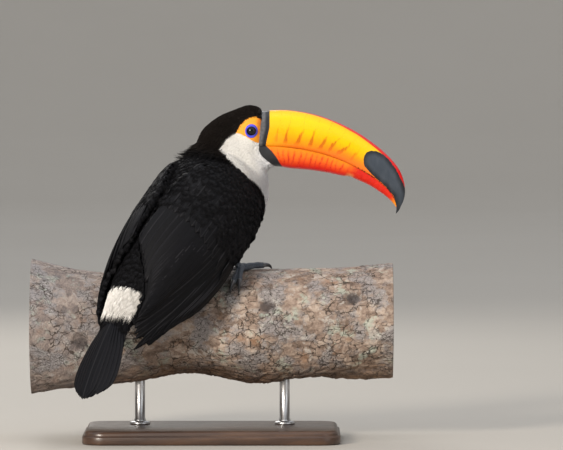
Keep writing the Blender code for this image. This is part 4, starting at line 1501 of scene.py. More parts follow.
def mandible(name, upper, material):
    rows = easedRows(bill["rows"], 16)
    places = mouthLine(rows)
    arc, strip = 44, 7
    lean = bill["leanUpper"] if upper else bill["leanLower"]
    rings, data = [], []

    def ring(row, place, shrink=1.0, centre=None):
        along, slope, upperDepth, lowerDepth, halfWidth = row
        _, side, up = axesAt(0.0, -slope)
        depth = upperDepth if upper else lowerDepth
        turn = np.pi * np.arange(arc) / (arc - 1)
        rise = signedPower(np.sin(turn), 2 / bill["squareness"])
        wide = halfWidth * (1.0 if upper else bill["lowerShare"])
        across = wide * signedPower(np.cos(turn), 2 / bill["squareness"])
        fades = max(0.0, 1 - along / bill["leanFades"])
        forward = lean * fades * (rise if upper else rise ** bill["leanBend"])
        if not upper:
            forward = forward - 1.2 * fades * np.sqrt(np.sin(math.pi * np.clip(rise, 0, 1)).clip(0))
        across = across * (1 + bill["baseFlare"] / halfWidth * math.exp(-(along / 6.0) ** 2))
        saw = (along * 0.19 + 0.5 * noise.noise(Vector((along * 0.06, 3.0, 0.0)))) % 1.0
        notch = 1.05 * (saw if saw < 0.72 else (1 - saw) / 0.28 * 0.72) * smoothStep(20, 45, along)
        notch *= smoothStep(190, 150, along) * (0.6 + 0.5 * noise.noise(Vector((along * 0.13, 0.0, 1.0))))
        edge = np.exp(-(rise / 0.05) ** 2) * notch if upper else 0.0
        ripple = 0.10 * np.sin(turn * 9 + along * 0.02)
        ripple = ripple * smoothStep(0.1, 0.4, rise) * smoothStep(1.0, 0.8, rise)
        height = depth * rise * (1 if upper else -1) + (0.05 if upper else 0.4) - edge + ripple
        if not upper:
            # the step in the keel
            height = height + 1.1 * math.exp(-((along - 117.0) / 5.0) ** 2) * rise ** 3
        points = place + np.outer(across, side) + np.outer(height, up)
        points[:, 0] += forward
        # back along the mouth, a little way into the bill
        back = np.linspace(-1, 1, strip + 2)[1:-1]
        inward = 1.6 * (1 - back ** 4) * (1 if upper else -1) * min(1.0, depth / 12)
        lining = place + np.outer(wide * 0.94 * back, side) + np.outer(inward, up)
        points = np.concatenate([points, lining])
        info = np.stack([np.full(arc + strip, along), np.concatenate([rise, np.zeros(strip)])], axis=1)
        if shrink < 1:
            points = centre + (points - place) * shrink
        return points, info

    for row, place in zip(rows, places):
        points, info = ring(row, place)
        rings.append(points)
        data.append(info)
    if upper:
        row = rows[-1]
        ahead, _, up = axesAt(0.0, -row[1])
        for t in billMarks["tipSteps"]:
            centre = places[-1] + ahead * bill["tipBeyond"] * t - up * row[2] * 0.28 * t * t
            points, info = ring(row, places[-1], (1 - t) ** 0.62, centre)
            rings.append(points)
            data.append(info)
    sides = arc + strip
    points, info = np.concatenate(rings), np.concatenate(data)
    made = faceOutward(meshObject(name, points, ringFaces(len(rings), sides), material))
    flat = points[:, [0, 2]]
    setAttribute(made.data, "along", info[:, 0])
    setAttribute(made.data, "rise", info[:, 1])
    if upper:
        base = np.interp(points[:, 2], *zip(*billMarks["band"])) - points[:, 0]
        culmen = [np.linalg.norm(ring_ - ring_[arc // 2], axis=1) for ring_ in rings]
        setAttribute(made.data, "tipEdge", edgeDistance(flat, billMarks["tip"]))
        setAttribute(made.data, "fromCulmen", np.concatenate(culmen))
    else:
        base = edgeDistance(flat, billMarks["leaf"])
    setAttribute(made.data, "baseEdge", base)
    return made


def hornWearGroup():
    # fine scratches and growth lines that run with the bill
    outputs = {"Height": "Float", "Dull": "Float"}
    tree, given, out = newGroup("horn wear", "ShaderNodeTree", {"Scratches": 0.5}, outputs)
    long = speckle(placed(tree, scale=(0.16, 1, 1), turn=(0, 12, 0)), 900.0, 3.0)
    pits = speckle(placed(tree), 1500.0, 2.0)
    lead(long * given["Scratches"] + pits * 0.3, out, "Height")
    lead(span(speckle(placed(tree), 55.0), 0.35, 0.7), out, "Dull")
    return tree


hornWear = hornWearGroup()


def strokes(tree, along, spacing, wander):
    # waves along the bill, drifting a little, between 0 and 1
    drift = speckle(placed(tree, scale=(1, 1, 0.35)), 70.0, 2.0)
    wave = calc("COSINE", (along / spacing + drift * wander) * (2 * math.pi))
    return wave * 0.5 + 0.5


def hornStart(name):
    material, tree = finishOf(name, Coat_Weight=0.12, Coat_Roughness=0.18, Specular_IOR_Level=0.32)
    return material, tree, readAttribute(tree, "along"), readAttribute(tree, "rise"), placed(tree)


def upperHorn():
    material, tree, along, rise, where = hornStart("upperHorn")
    haze = speckle(where, 38.0, 3.0)
    colour = ramp(rise + (haze - 0.5) * 0.22, (
        (0.0, (0.92, 0.17, 0.004)), (0.10, (0.93, 0.23, 0.004)), (0.30, (0.95, 0.37, 0.002)),
        (0.52, (0.96, 0.53, 0.0)), (0.80, billMarks["yellow"]), (1.0, (0.93, 0.50, 0.0))))
    nearBase = span(along, 46.0, 4.0, 0.0, 0.75) * span(rise, 0.95, 0.3, 0.3, 1.0)
    # flames that lean back up from the mouth line
    lean = rise * span(along, 20.0, 95.0, 3.0, 12.5)
    fibres = speckle(placed(tree, scale=(1, 1, 0.10)), 850.0, 3.0, 0.6)
    ragged = (speckle(where, 330.0, 3.0) - 0.5) * 0.14 + (fibres - 0.5) * 0.55
    needed = span(rise, 0.10, 0.62, 0.60, 1.02, smooth=False) + ragged
    flame = span(strokes(tree, along - lean, 12.4, 1.0) - needed, -0.06, 0.20)
    flame = flame * (span(along, 14.0, 26.0) * span(along, 124.0, 100.0)) * span(rise, 0.04, 0.20)
    grainy = span(fibres, 0.52, 0.72) * span(rise, 0.92, 0.45)
    glow = span(rise, 0.42, 0.10) * span(along, 55.0, 100.0)
    # the red line along the culmen and the dark edge of the mouth
    stripe = readAttribute(tree, "fromCulmen") + haze * 1.2
    red = span(span(along, 10.0, 95.0, 4.6, 9.6, smooth=False) - stripe, -0.4, 1.2)
    lip = span(rise, 0.016, 0.004) * span(along, 18.0, 46.0, 0.25, 0.9)
    # the slate tip with a painted highlight, its teeth, and the black band at the base
    tipEdge, baseEdge = readAttribute(tree, "tipEdge"), readAttribute(tree, "baseEdge")
    wobble = (speckle(where, 260.0, 3.0) - 0.5) * 1.6
    tip = span(tipEdge + wobble, -0.35, 0.45)
    base = span(baseEdge + wobble * 0.4, -0.25, 0.3)
    scuff = span(speckle(placed(tree, scale=(1, 1, 0.4)), 120.0, 5.0, 0.65), 0.42, 0.72)
    # painted highlight: the tip is lighter towards its middle and darker at its border; then scuffs of wear
    slateAndHighlight = blend(span(tipEdge, 0.5, 7.0), (0.012, 0.014, 0.018), (0.046, 0.058, 0.076))
    slateAndHighlight = blend(scuff * 0.35, slateAndHighlight, (0.085, 0.100, 0.125))
    tipMouth = span(rise, 0.045, 0.02) * span(along, 112.0, 126.0)
    teeth = span(speckle(where, 420.0, 2.0), 0.44, 0.56) * tipMouth
    rim = span(baseEdge, 3.0, 6.5) * speckle(where, 320.0)
    band = blend(rim, billMarks["horn"], (0.19, 0.19, 0.20))
    colour = layered(colour, (nearBase, (0.95, 0.40, 0.002)), (flame * 0.76, (0.46, 0.085, 0.003)),
                     (grainy * 0.22, (0.86, 0.26, 0.002)), (glow * 0.55, (0.90, 0.16, 0.02)),
                     (red * span(along, 4.0, 22.0), billMarks["red"]), (lip * 0.8, billMarks["lip"]),
                     (tip, slateAndHighlight), (teeth, (0.012, 0.010, 0.011)), (base, band))
    wear = placeGroup(tree, hornWear, Scratches=0.5)
    rough = span(wear["Dull"], 0.0, 1.0, 0.24, 0.36) + calc("MAXIMUM", tip, base) * 0.12
    return dressed(material, colour, wear["Height"] + flame * -0.4, 0.14, 0.0004, rough)


def lowerHorn():
    material, tree, along, rise, where = hornStart("lowerHorn")
    haze = speckle(where, 45.0, 3.0)
    colour = ramp(rise + (haze - 0.5) * 0.35, (
        (0.0, (0.93, 0.26, 0.006)), (0.35, (0.92, 0.18, 0.006)), (0.62, (0.87, 0.08, 0.006)),
        (0.85, (0.79, 0.014, 0.006)), (1.0, (0.71, 0.007, 0.006))))
    fibres = speckle(placed(tree, scale=(1, 1, 0.12)), 700.0, 3.0, 0.6)
    vein = (strokes(tree, along, 6.8, 1.5) + span(fibres, 0.3, 0.7, -0.2, 0.14)) ** 4.0
    vein = vein * (span(rise, 0.04, 0.3) * span(rise, 0.97, 0.7)) * span(along, 124.0, 100.0)
    # deep red beyond the step in the keel, orange at the very tip
    far = span(along + haze * 14.0, 114.0, 131.0)
    deep = blend(speckle(placed(tree, scale=(1, 1, 0.5)), 190.0, 4.0, 0.6), (0.56, 0.003, 0.004),
                 (0.84, 0.035, 0.008))
    notch = span(calc("ABSOLUTE", along - 116.0), 7.0, 1.0) * span(rise, 0.55, 0.95)
    lip = span(rise, 0.03, 0.006) * span(along, 18.0, 46.0, 0.2, 0.8)
    wobble = (speckle(where, 260.0, 3.0) - 0.5) * 0.8
    base = span(readAttribute(tree, "baseEdge") + wobble, -0.3, 0.3)
    colour = layered(colour, (calc("MULTIPLY", vein, 0.72, clamp=True), (0.66, 0.022, 0.004)), (far, deep),
                     (notch * 0.7, (0.95, 0.42, 0.12)), (span(along, 172.0, 184.0), (0.93, 0.30, 0.01)),
                     (lip * 0.7, billMarks["lip"]),
                     (base, blend(haze, (0.013, 0.014, 0.017), (0.034, 0.035, 0.040))))
    wear = placeGroup(tree, hornWear, Scratches=0.4)
    rough = span(wear["Dull"], 0.0, 1.0, 0.25, 0.38) + base * 0.1
    return dressed(material, colour, wear["Height"] + vein * -0.3, 0.14, 0.0004, rough)


billUpper = mandible("billUpper", True, upperHorn())
billLower = mandible("billLower", False, lowerHorn())
print("bill made", len(billUpper.data.polygons) + len(billLower.data.polygons), "faces")


# scaled feet and hooked claws
def legFinish(name, scale, bump):
    material, tree = finishOf(name, Roughness=0.6)
    where = placed(tree)
    border, mottle = cells(where, scale), speckle(where, 300.0)
    colour = blend(mottle, (0.055, 0.070, 0.095), (0.15, 0.175, 0.21))
    colour = blend(span(border, 0.10, 0.0, 0.0, 0.75), colour, (0.020, 0.024, 0.032))
    return dressed(material, colour, span(border, 0.0, 0.16) + mottle * 0.3, bump, 0.0004)


def scuteLines(side):
    # plates across the top of each toe, and down the front of the shank
    lines, ways, ups, wides = [], [], [], []
    heel, _, _, cuff = legPlaces(side)
    whole = np.linspace(0, 1, 61)
    for heading, length in legs["toes"].values():
        lift = legs["toeRadius"] * 0.85
        line, low = (np.column_stack([whole, toeLine(side, heading, length, rise, 61)])
                     for rise in (lift, lift - 1.0))
        for start in np.arange(4.5, length - 2.0, 2.3):
            share = np.clip((start + np.linspace(0, 3.0, 4)) / length, 0, 1)
            at, below = rowAt(line, share)[:, 1:], rowAt(low, share)[:, 1:]
            up = unit(at - below)
            reach = np.interp(share, np.linspace(0, 1, len(toeSwells)), toeSwells)
            lines.append(at + up * (reach + np.array((-0.15, 0.05, 0.2, 0.28)))[:, None])
            ups.append(up)
            ways.append(unit(np.gradient(at, axis=0)))
            wides.append(reach.mean() * 0.86)
    top, foot = cuff, heel + unit(np.array(legs["run"])) * 4.0
    run = unit(foot - top)
    front = unit(trunkAhead - run * (trunkAhead @ run))
    for start in np.arange(1.0, np.linalg.norm(foot - top), 2.9):
        at = top + np.outer(start + np.linspace(0, 3.7, 4), run)
        lines.append(at + front * (3.9 + np.array((-0.1, 0.05, 0.2, 0.28)))[:, None])
        ups.append(np.tile(front, (4, 1)))
        ways.append(np.tile(run, (4, 1)))
        wides.append(3.3)
    return np.array(lines), np.array(ways), np.array(ups), np.array(wides)


def makeScutes():
    parts = [scuteLines(side) for side in legs["feet"]]
    lines, ways, ups, wides = (np.concatenate([p[k] for p in parts]) for k in range(4))
    sides = np.cross(ways, ups) * wides[:, None, None]
    count = len(lines)
    maps = np.stack([np.linspace(0.02, 0.98, count), np.full(count, 0.5)], axis=1)
    tints = np.tile(skinColours["legSkin"], (count, 1))
    return layCoat("footScutes", lines, sides, ups, np.zeros(count), tints, maps, scuteCards,
                   legFinish("legScale", 700.0, 0.2), 0.28, 0.62, 0.0, 12)


def makeClaws(material):
    points, faces = [], []
    sides, steps = 18, 22
    for side, (x, angle) in legs["feet"].items():
        for heading, length in legs["toes"].values():
            turned = math.radians(heading if side == "right" else 90.0 - heading)
            radius = rowAt(branchRows, np.array(x))[2]
            share = np.linspace(0, 1, steps)
            run = length - 1.2 + (legs["clawLength"] - 1.6) * np.sin(share * 1.5) / math.sin(1.5)
            lift = legs["toeRadius"] * 0.95 + 3.4 * np.sin(share * math.pi * 0.8) - 5.3 * share
            swing = np.degrees(run * math.sin(turned) / (radius + lift))
            line = barkPoint(x + run * math.cos(turned), angle + swing, lift)
            girth = legs["clawRadius"] * (1 - share) ** 0.62 + 0.22
            girth *= 1 + 0.22 * np.exp(-(share / 0.10) ** 2)
            start = len(points)
            points += list(tubeRings(line, girth, sides, 1.18))
            faces += [tuple(i + start for i in f) for f in ringFaces(steps, sides)]
    made = meshObject("claws", points, faces, material)
    setAttribute(made.data, "along", np.tile(np.repeat(np.linspace(0, 1, steps), sides), 8))
    return faceOutward(made)


def clawFinish():
    material, tree = finishOf("clawHorn", Roughness=0.34, Coat_Weight=0.25, Coat_Roughness=0.2)
    grain = speckle(placed(tree), 700.0)
    colour = ramp(readAttribute(tree, "along"), (
        (0.0, (0.16, 0.165, 0.17)), (0.18, (0.07, 0.07, 0.075)), (0.5, (0.022, 0.022, 0.025)),
        (1.0, (0.012, 0.011, 0.012))))
    colour = blend(span(grain, 0.5, 0.8, 0.0, 0.4), colour, (0.14, 0.135, 0.13))
    return dressed(material, colour, grain, 0.25, 0.0002)


scuteOutline = (0, 0.9), (0.5, 1.0), (1, 0.9)
scuteCards = cardSet("scute shapes", [vaneCard("scute", 4, 7, scuteOutline, 0.85, 0.0, 90)])
footScutes = makeScutes()
claws = makeClaws(clawFinish())


# the cut length of branch: plates of bark between cracks, lower ridges below, sawn ends
barkMake = {
    "steps": 296, "sides": 300, "caps": 8,
    "plates": (12.5, 7.6), "flakes": (5.6, 3.8),
    "crackDeep": 1.5, "flakeDeep": 0.6, "closed": 0.32,
    "knots": ((-152.0, -100.0, 9.0), (64.4, -66.0, 8.0), (163.8, -62.0, 8.5)),
}


def barkCells(u, v, period, size, seed):
    # distance to the border between the two nearest cells, the cell and the place in it
    dice = np.random.default_rng(seed)
    wide, tall = size
    reach = branch["end"] + 8.0
    across, round_ = int(2 * reach / wide) + 1, int(round(period / tall))
    gx, gy = np.meshgrid(np.arange(across), np.arange(round_), indexing="ij")
    seeds = np.stack([-reach + (gx + 0.5 + dice.uniform(-0.42, 0.42, gx.shape)) * wide,
                      (gy + 0.5 + dice.uniform(-0.42, 0.42, gy.shape)) * period / round_],
                     axis=-1).reshape(-1, 2)
    tree = kdtree.KDTree(len(seeds) * 3)
    for turn in (-1, 0, 1):
        for i, (x, y) in enumerate(seeds):
            tree.insert(((x / wide) * tall, y + turn * period, 0.0), i)
    tree.balance()
    edge, cell, other = np.empty(len(u)), np.empty(len(u), int), np.empty(len(u), int)
    inside = np.empty((len(u), 2))
    for i, (x, y) in enumerate(zip(u / wide * tall, v)):
        (a, first, near), (b, second, far) = tree.find_n((x, y, 0.0), 2)
        edge[i] = (far * far - near * near) / (2 * max((a - b).length, 1e-6))
        cell[i], other[i] = first, second
        inside[i] = x - a[0], y - a[1]
    # some borders stay closed
    chance = np.sin(np.minimum(cell, other) * 12.9898 + np.maximum(cell, other) * 78.233) * 43758.5
    parted = smoothStep(barkMake["closed"] - 0.08, barkMake["closed"] + 0.2, chance % 1.0)
    return edge, cell, inside, len(seeds), parted


def noiseAt(points, scale, seed, octaves=1):
    out = np.zeros(len(points))
    shift = Vector((seed * 13.7, seed * 5.1, seed * 9.3))
    for k in range(octaves):
        step = scale * 2 ** k
        out += np.array([noise.noise(Vector(p) * step + shift) for p in points]) / 2 ** k
    return out


def barkShape():
    rows, sides, end = barkMake["steps"], barkMake["sides"], branch["end"]
    x = np.repeat(np.linspace(-end, end, rows), sides)
    angle = np.tile(np.arange(sides) * 360.0 / sides, rows)
    surface = barkPoint(x, angle)
    period = 2 * math.pi * branch["girth"]
    broad = noiseAt(surface, 1 / 55, 1)
    warp = noiseAt(surface, 1 / 26, 2, 2) * 4.0, noiseAt(surface, 1 / 18, 3, 2) * 3.0
    rough = noiseAt(surface, 1 / 7, 4, 3)
    u, v = x + warp[0], (np.radians(angle) * branch["girth"] + warp[1]) % period
    edge, cell, inside, count, parted = barkCells(u, v, period, barkMake["plates"], 5)
    fine, fineCell, _, fineCount, fineParted = barkCells(
        u + rough * 0.8, (v + rough * 0.7) % period, period, barkMake["flakes"], 6)
    dice = np.random.default_rng(7)
    height, lean = dice.uniform(0, 1, count), dice.uniform(-0.07, 0.07, (count, 2))
    fineHeight = dice.uniform(0, 1, fineCount)
    below = smoothStep(118.0, 165.0, np.abs((angle + 180) % 360 - 180))
    # cracks between the plates, and finer ones between flakes
    open_ = np.clip(0.28 + 1.5 * broad + 0.30 * smoothStep(-60, 60, x), 0.0, 0.85) * parted
    crack = smoothStep(0.95 * open_ + 0.25, 0.0, edge) * open_
    patchy = np.clip(0.25 + 1.6 * noiseAt(surface, 1 / 30, 8), 0, 1)
    small = smoothStep(0.85, 0.05, fine) * patchy * fineParted
    drop = barkMake["crackDeep"] * crack + barkMake["flakeDeep"] * small
    # each plate stands at its own height and leans a little
    tilt = (inside * lean[cell]).sum(axis=1) * (1 - crack)
    drop += (1 - height[cell]) * 0.55 * np.clip(open_ * 2, 0.15, 1) - tilt
    drop += (1 - fineHeight[fineCell]) * 0.32 * (1 - small) - rough * 0.28 + 0.3
    ridge = np.abs(noiseAt(surface * (0.35, 1.0, 1.0), 1 / 9, 9, 2))
    drop += below * (2.4 * (0.5 - ridge) + 0.8)
    # each knot's dent share; on the bark it darkens both as the knot's own wood and as painted shade in the
    # dent
    knotAndShade = np.zeros(len(x))
    for knotX, knotAngle, size in barkMake["knots"]:
        turn = (angle - knotAngle + 180) % 360 - 180
        far = np.hypot((x - knotX) * 0.85, np.radians(turn) * branch["girth"]) + rough * 2
        dent = np.exp(-(far / size) ** 2)
        rim = np.exp(-((far - size * 1.35) / 3.0) ** 2)
        drop += 2.2 * dent - 0.7 * rim + 0.35 * np.sin(far * 1.9) * dent
        knotAndShade = np.maximum(knotAndShade, dent)
    atEnd = smoothStep(end - 9.0, end, np.abs(x))
    drop = drop * (1 - 0.35 * atEnd) + 0.5 * atEnd
    masks = {"crack": np.clip(crack + 0.6 * small, 0, 1), "plate": height[cell], "under": below,
             "flake": fineHeight[fineCell], "knotAndShade": knotAndShade}
    return surface, x, angle, np.clip(drop, -0.35, 5.0), masks


def perchGrip(surface):
    # bark stays low under the feet, the wing and the tail
    return smoothStep(16.0, 5.0, np.array([gripTree.find(p)[2] for p in surface]))


def makePerch(material, sawn):
    surface, x, angle, drop, masks = barkShape()
    rows, sides, caps = barkMake["steps"], barkMake["sides"], barkMake["caps"]
    points = [barkPoint(x, angle, -(drop + perchGrip(surface) * 0.25))]
    faces = ringFaces(rows, sides, capped=False)
    total = rows * sides
    for end, ring in ((-1, 0), (1, rows - 1)):
        # a sawn face in rings to its middle
        rim = points[0][ring * sides:(ring + 1) * sides]
        middle = rim.mean(axis=0) + (0, 2.0, 4.0)
        before = ring * sides
        for k in range(1, caps + 1):
            share = 0.012 if k == 1 else (k / (caps + 1)) ** 0.8
            loop = rim + (middle - rim) * share
            saw = 0.18 * np.sin(loop[:, 2] * 0.9 + 0.4 * np.sin(loop[:, 1] * 0.1))
            flat = branch["end"] - (0.0 if k > 1 else 0.2)
            loop[:, 0] = end * flat - end * (saw + 0.35) * (k > 1)
            points.append(loop)
            faces += [(before + i, before + (i + 1) % sides, total + (i + 1) % sides, total + i)
                      for i in range(sides)]
            before, total = total, total + sides
        points.append(middle[None, :] * (0, 1, 1) + (end * (branch["end"] - 0.3), 0, 0))
        faces += [(before + i, before + (i + 1) % sides, total) for i in range(sides)]
        total += 1
    made = faceOutward(meshObject("perch", np.concatenate(points), faces, material, sawn))
    for key, values in masks.items():
        setAttribute(made.data, key, np.pad(values, (0, total - len(values))))
    ends = (np.arange(len(made.data.polygons)) >= (rows - 1) * sides).astype(np.int32)
    made.data.polygons.foreach_set("material_index", ends)
    return made


def barkFinish():
    material, tree = finishOf("bark", Roughness=0.86)
    where = placed(tree)
    broad = speckle(where, 14.0, 3.0)
    patchy = speckle(placed(tree, shift=(3, 1, 2)), 34.0, 5.0, 0.62)
    fine = speckle(where, 620.0, 4.0, 0.65)
    grit = speckle(placed(tree, shift=(4, 4, 1)), 260.0, 5.0, 0.7)
    plate, flake, under, knotted, cracked = (
        readAttribute(tree, name) for name in ("plate", "flake", "under", "knotAndShade", "crack"))

    def stain(shift, scale, detail, roughness, low, high):
        return span(speckle(placed(tree, shift=shift), scale, detail, roughness), low, high)

    tone = plate * 0.5 + flake * 0.3 + fine * 0.35 + span(grit, 0.3, 0.7, -0.22, 0.22, smooth=False)
    colour = ramp(tone, ((0.12, (0.12, 0.080, 0.058)), (0.40, (0.30, 0.215, 0.165)),
                         (0.65, (0.44, 0.335, 0.265)), (0.95, (0.62, 0.51, 0.42))))
    flaky = ramp(speckle(placed(tree, scale=(0.4, 1, 1)), 170.0, 5.0, 0.65), (
        (0.32, (0.05, 0.028, 0.016)), (0.5, (0.19, 0.10, 0.05)), (0.68, (0.40, 0.24, 0.13))))
    # grey patches, painted shade as a bluish grey towards the left end, and dark specks
    grey = span(patchy + plate * 0.12, 0.50, 0.66)
    across = wired(tree, "ShaderNodeSeparateXYZ", {0: where})
    paintedShadeLeft = span(across + patchy * 0.10, -0.02, -0.12)
    speck = span(speckle(where, 1100.0, 2.0, 0.7), 0.60, 0.72)
    # thin dark cracks that wander, a wide net of them and a finer one
    warp = scaled(speckle(where, 70.0, roughness=0.5, output="Color"), 0.016)
    bent = added(placed(tree, scale=(0.65, 1, 1)), warp)
    thin = span(grit, 0.35, 0.65, 0.006, 0.040, smooth=False)
    hair = span(cells(bent, 95.0) - thin, 0.012, -0.004) * stain((2, 2, 6), 26.0, 4.0, 0.6, 0.40, 0.54)
    broken = span(cells(bent, 260.0) - thin, 0.02, -0.01) * span(patchy + grit * 0.3, 0.60, 0.74)
    hair = calc("MAXIMUM", hair, broken)
    crack = cracked * (fine + 0.55)
    # dark knots: the knots' own darker wood and painted shade in their dents
    knotAndShade = span(knotted + span(grit, 0.3, 0.7, -0.2, 0.2), 0.15, 0.8)
    colour = layered(
        colour, (grey * 0.75, (0.36, 0.35, 0.36)),
        (stain((7, 4, 0), 42.0, 6.0, 0.68, 0.555, 0.64) * 0.7, (0.50, 0.56, 0.47)),
        (stain((1, 9, 5), 60.0, 5.0, 0.7, 0.565, 0.65) * 0.65, (0.66, 0.63, 0.58)),
        (stain((5, 2, 8), 30.0, 4.0, 0.6, 0.58, 0.70) * 0.55, (0.36, 0.18, 0.08)),
        # the bluish grey towards the left end is painted shade
        (under * 0.85, flaky), (paintedShadeLeft * 0.42, (0.185, 0.195, 0.225)), (broad * 0.25, (0.20, 0.15, 0.125)),
        (speck * 0.5, (0.08, 0.055, 0.04)), (hair * 0.85, (0.034, 0.022, 0.015)),
        (span(crack, 0.30, 0.95, 0.0, 0.55), (0.070, 0.046, 0.032)),
        (span(crack + grit * 0.35, 0.82, 1.02, 0.0, 0.9), (0.016, 0.010, 0.007)),
        (knotAndShade * 0.8, (0.060, 0.050, 0.050)))
    height = fine + hair * -0.9 + grit * 1.6 + speck * -0.4
    return dressed(material, colour, height, 0.85, 0.0013)


def sawnFinish():
    # growth rings, drying cracks and a dark rim, about the branch's middle in metres
    material, tree = finishOf("sawnWood", Roughness=0.75)
    _, y, z = wiresOf(addNode(tree, "ShaderNodeSeparateXYZ", {0: placed(tree)})).values()
    y, z = y - 0.030, z - 0.137
    wobble = speckle(placed(tree, scale=(0.2, 1, 1)), 26.0, 3.0)
    far = calc("SQRT", y * y + z * z) + wobble * 0.012
    ring = span(calc("SINE", far * 2600.0), -0.4, 1.0)
    grain = speckle(placed(tree, scale=(1, 0.12, 1)), 900.0)
    check = calc("ABSOLUTE", calc("SINE", calc("ARCTAN2", z, y) * 5.5 + wobble))
    check = span(check, 0.035, 0.008) * span(far, 0.066, 0.030, 0.15, 1.0)
    colour = layered(blend(ring, (0.62, 0.46, 0.29), (0.42, 0.27, 0.15)),
                     (span(far, 0.034, 0.026), (0.40, 0.24, 0.13)), (check * 0.85, (0.06, 0.035, 0.02)),
                     (span(far, 0.0605, 0.0625, 0.0, 0.85), (0.13, 0.085, 0.06)),
                     (grain * 0.3, (0.30, 0.19, 0.11)))
    return dressed(material, colour, grain * 0.6 - check, 0.4, 0.0006)


gripParts = [obj for obj in coat if obj.name.startswith(("wing", "tail"))] + [claws, footScutes]
gripPoints = np.concatenate([pointsOf(obj)[::7] for obj in gripParts])
gripTree = kdtree.KDTree(len(gripPoints))
for number, spot in enumerate(gripPoints):
    gripTree.insert(spot, number)
gripTree.balance()
perch = makePerch(barkFinish(), sawnFinish())
print("perch made", len(perch.data.polygons), "faces")


# a plain display stand: stained base with a small moulded edge, two steel rods
stand = {
    "half": (150.0, 100.0),
    "corner": 26.0,
    "profile": ((1.5, 0.0), (0.3, 0.6), (0.0, 1.8), (0.0, 8.2), (0.5, 9.3), (1.6, 10.0), (2.6, 10.3),
                (2.7, 10.9), (2.9, 12.2), (3.6, 13.8), (4.9, 15.1), (6.6, 15.8), (8.4, 16.0)),
    "rods": 85.0,
    "plane": 28.0,
    # radius and height up each rod, from its collar on the base
    "rodProfile": ((11.5, 16.0), (12.0, 16.5), (12.0, 18.6), (11.3, 19.4), (7.4, 19.9), (6.9, 20.6),
                   (6.7, 22.6), (6.0, 23.0), (6.0, 60.0), (6.0, 93.4), (5.3, 94.0)),
}


def roundedRing(inset, z, arcs=12):
    wide, deep = (v - inset for v in stand["half"])
    radius = stand["corner"] - inset
    ring = []
    for k, (sx, sy) in enumerate(((1, 1), (-1, 1), (-1, -1), (1, -1))):
        for turn in np.linspace(0, math.pi / 2, arcs):
            angle = turn + k * math.pi / 2
            ring.append((sx * (wide - radius) + radius * math.cos(angle),
                         sy * (deep - radius) + radius * math.sin(angle), z))
    return ring


def makeBase(material):
    rings = [roundedRing(inset, z) for inset, z in stand["profile"]]
    sides = len(rings[0])
    points = [p for ring in rings for p in ring]
    return faceOutward(meshObject("standBase", points, ringFaces(len(rings), sides), material))


def makeRods(material):
    turns = 2 * np.pi * np.arange(64) / 64
    made = []
    for way in (-1, 1):
        points = [(way * stand["rods"] + radius * math.cos(turn),
                   stand["plane"] + radius * math.sin(turn), z)
                  for radius, z in stand["rodProfile"] for turn in turns]
        faces = ringFaces(len(stand["rodProfile"]), 64)
        made.append(faceOutward(meshObject("rod", points, faces, material)))
    return joined("standRods", made)


def baseFinish():
    material, tree = finishOf("baseWood", Roughness=0.38, Coat_Weight=0.3, Coat_Roughness=0.25)
    drift = speckle(placed(tree, scale=(0.5, 1, 1)), 9.0, 2.0)
    figure = speckle(placed(tree, scale=(0.09, 1, 0.6)), 120.0, 5.0, 0.6, 0.6)
    pores = speckle(placed(tree, scale=(0.05, 1, 1)), 900.0, 3.0, 0.6)
    colour = ramp(figure * 0.8 + drift * 0.25, (
        (0.32, (0.028, 0.014, 0.009)), (0.52, (0.060, 0.029, 0.016)), (0.70, (0.105, 0.053, 0.028))))
    colour = blend(span(pores, 0.56, 0.68, 0.0, 0.6), colour, (0.018, 0.009, 0.006))
    return dressed(material, colour, pores * -1.0, 0.2, 0.0003, span(pores, 0.4, 0.7, 0.34, 0.5))


def rodFinish():
    material, tree = finishOf("rodSteel", Metallic=1.0)
    rings = speckle(placed(tree, scale=(0.02, 0.02, 1)), 2600.0, 3.0)
    colour = blend(rings, (0.50, 0.50, 0.51), (0.66, 0.66, 0.67))
    rough = span(rings, 0.3, 0.7, 0.24, 0.34) + speckle(placed(tree), 60.0, 3.0) * 0.08
    return dressed(material, colour, rings, 0.08, 0.0002, rough)


standBase = makeBase(baseFinish())
standRods = makeRods(rodFinish())


# the skin's own look under the coat, and its scaled part on the feet
def skinFinish():
    material, tree = finishOf("featheredSkin", Roughness=0.82, Specular_IOR_Level=0.15)
    down = speckle(placed(tree), 700.0, 4.0, 0.6)
    shade = ramp(down, ((0.3, (0.80, 0.80, 0.80)), (0.7, (1.08, 1.08, 1.08))))
    colour = blend(1.0, readAttribute(tree, "tint", "Color"), shade, "MULTIPLY")
    return dressed(material, colour, down, 0.5, 0.0006)


def sinkEyes(points):
    # the sockets drop away behind the lids
    far = np.linalg.norm(points[:, [0, 2]] - np.array(eye["place"]), axis=1)
    way = np.sign(points[:, 1] - head["plane"])
    deep = eye["socket"] * smoothStep(eye["ring"][0] - 0.4, eye["opening"], far)
    deep[np.abs(points[:, 1] - head["plane"]) < marks["besideFace"]] = 0.0
    points = points.copy()
    points[:, 1] -= way * deep
    return points


setPoints(skin, sinkEyes(skinPoints))
skin.data.materials.append(skinFinish())
skin.data.materials.append(legFinish("legSkin", 520.0, 0.7))
pointPart = partOfSkin(skinPoints)
skinTint = tintOf(skinPoints, pointPart, bodyPlace(skinPoints)[0], flesh=True)
# black under the tail's coverts and on the tail's upper side
tailRoot = (pointPart == 0) & (trunkPlace(skinPoints)[0] < -9.0) & (rumpEdge(skinPoints) > -1.0)
tailTop = (pointPart == 3) & (gathered(skin.data.vertices, "normal") @ tailUp > -0.3)
skinTint[tailRoot | tailTop] = skinColours["black"]
setTint(skin.data, skinTint)
skin.data.polygons.foreach_set("material_index", (quadPart >= 5).astype(np.int32))
skin.data.shade_smooth()
skin = joined("skin", [skin] + facePatches)
lids = joined("eyeRings", eyeRings)

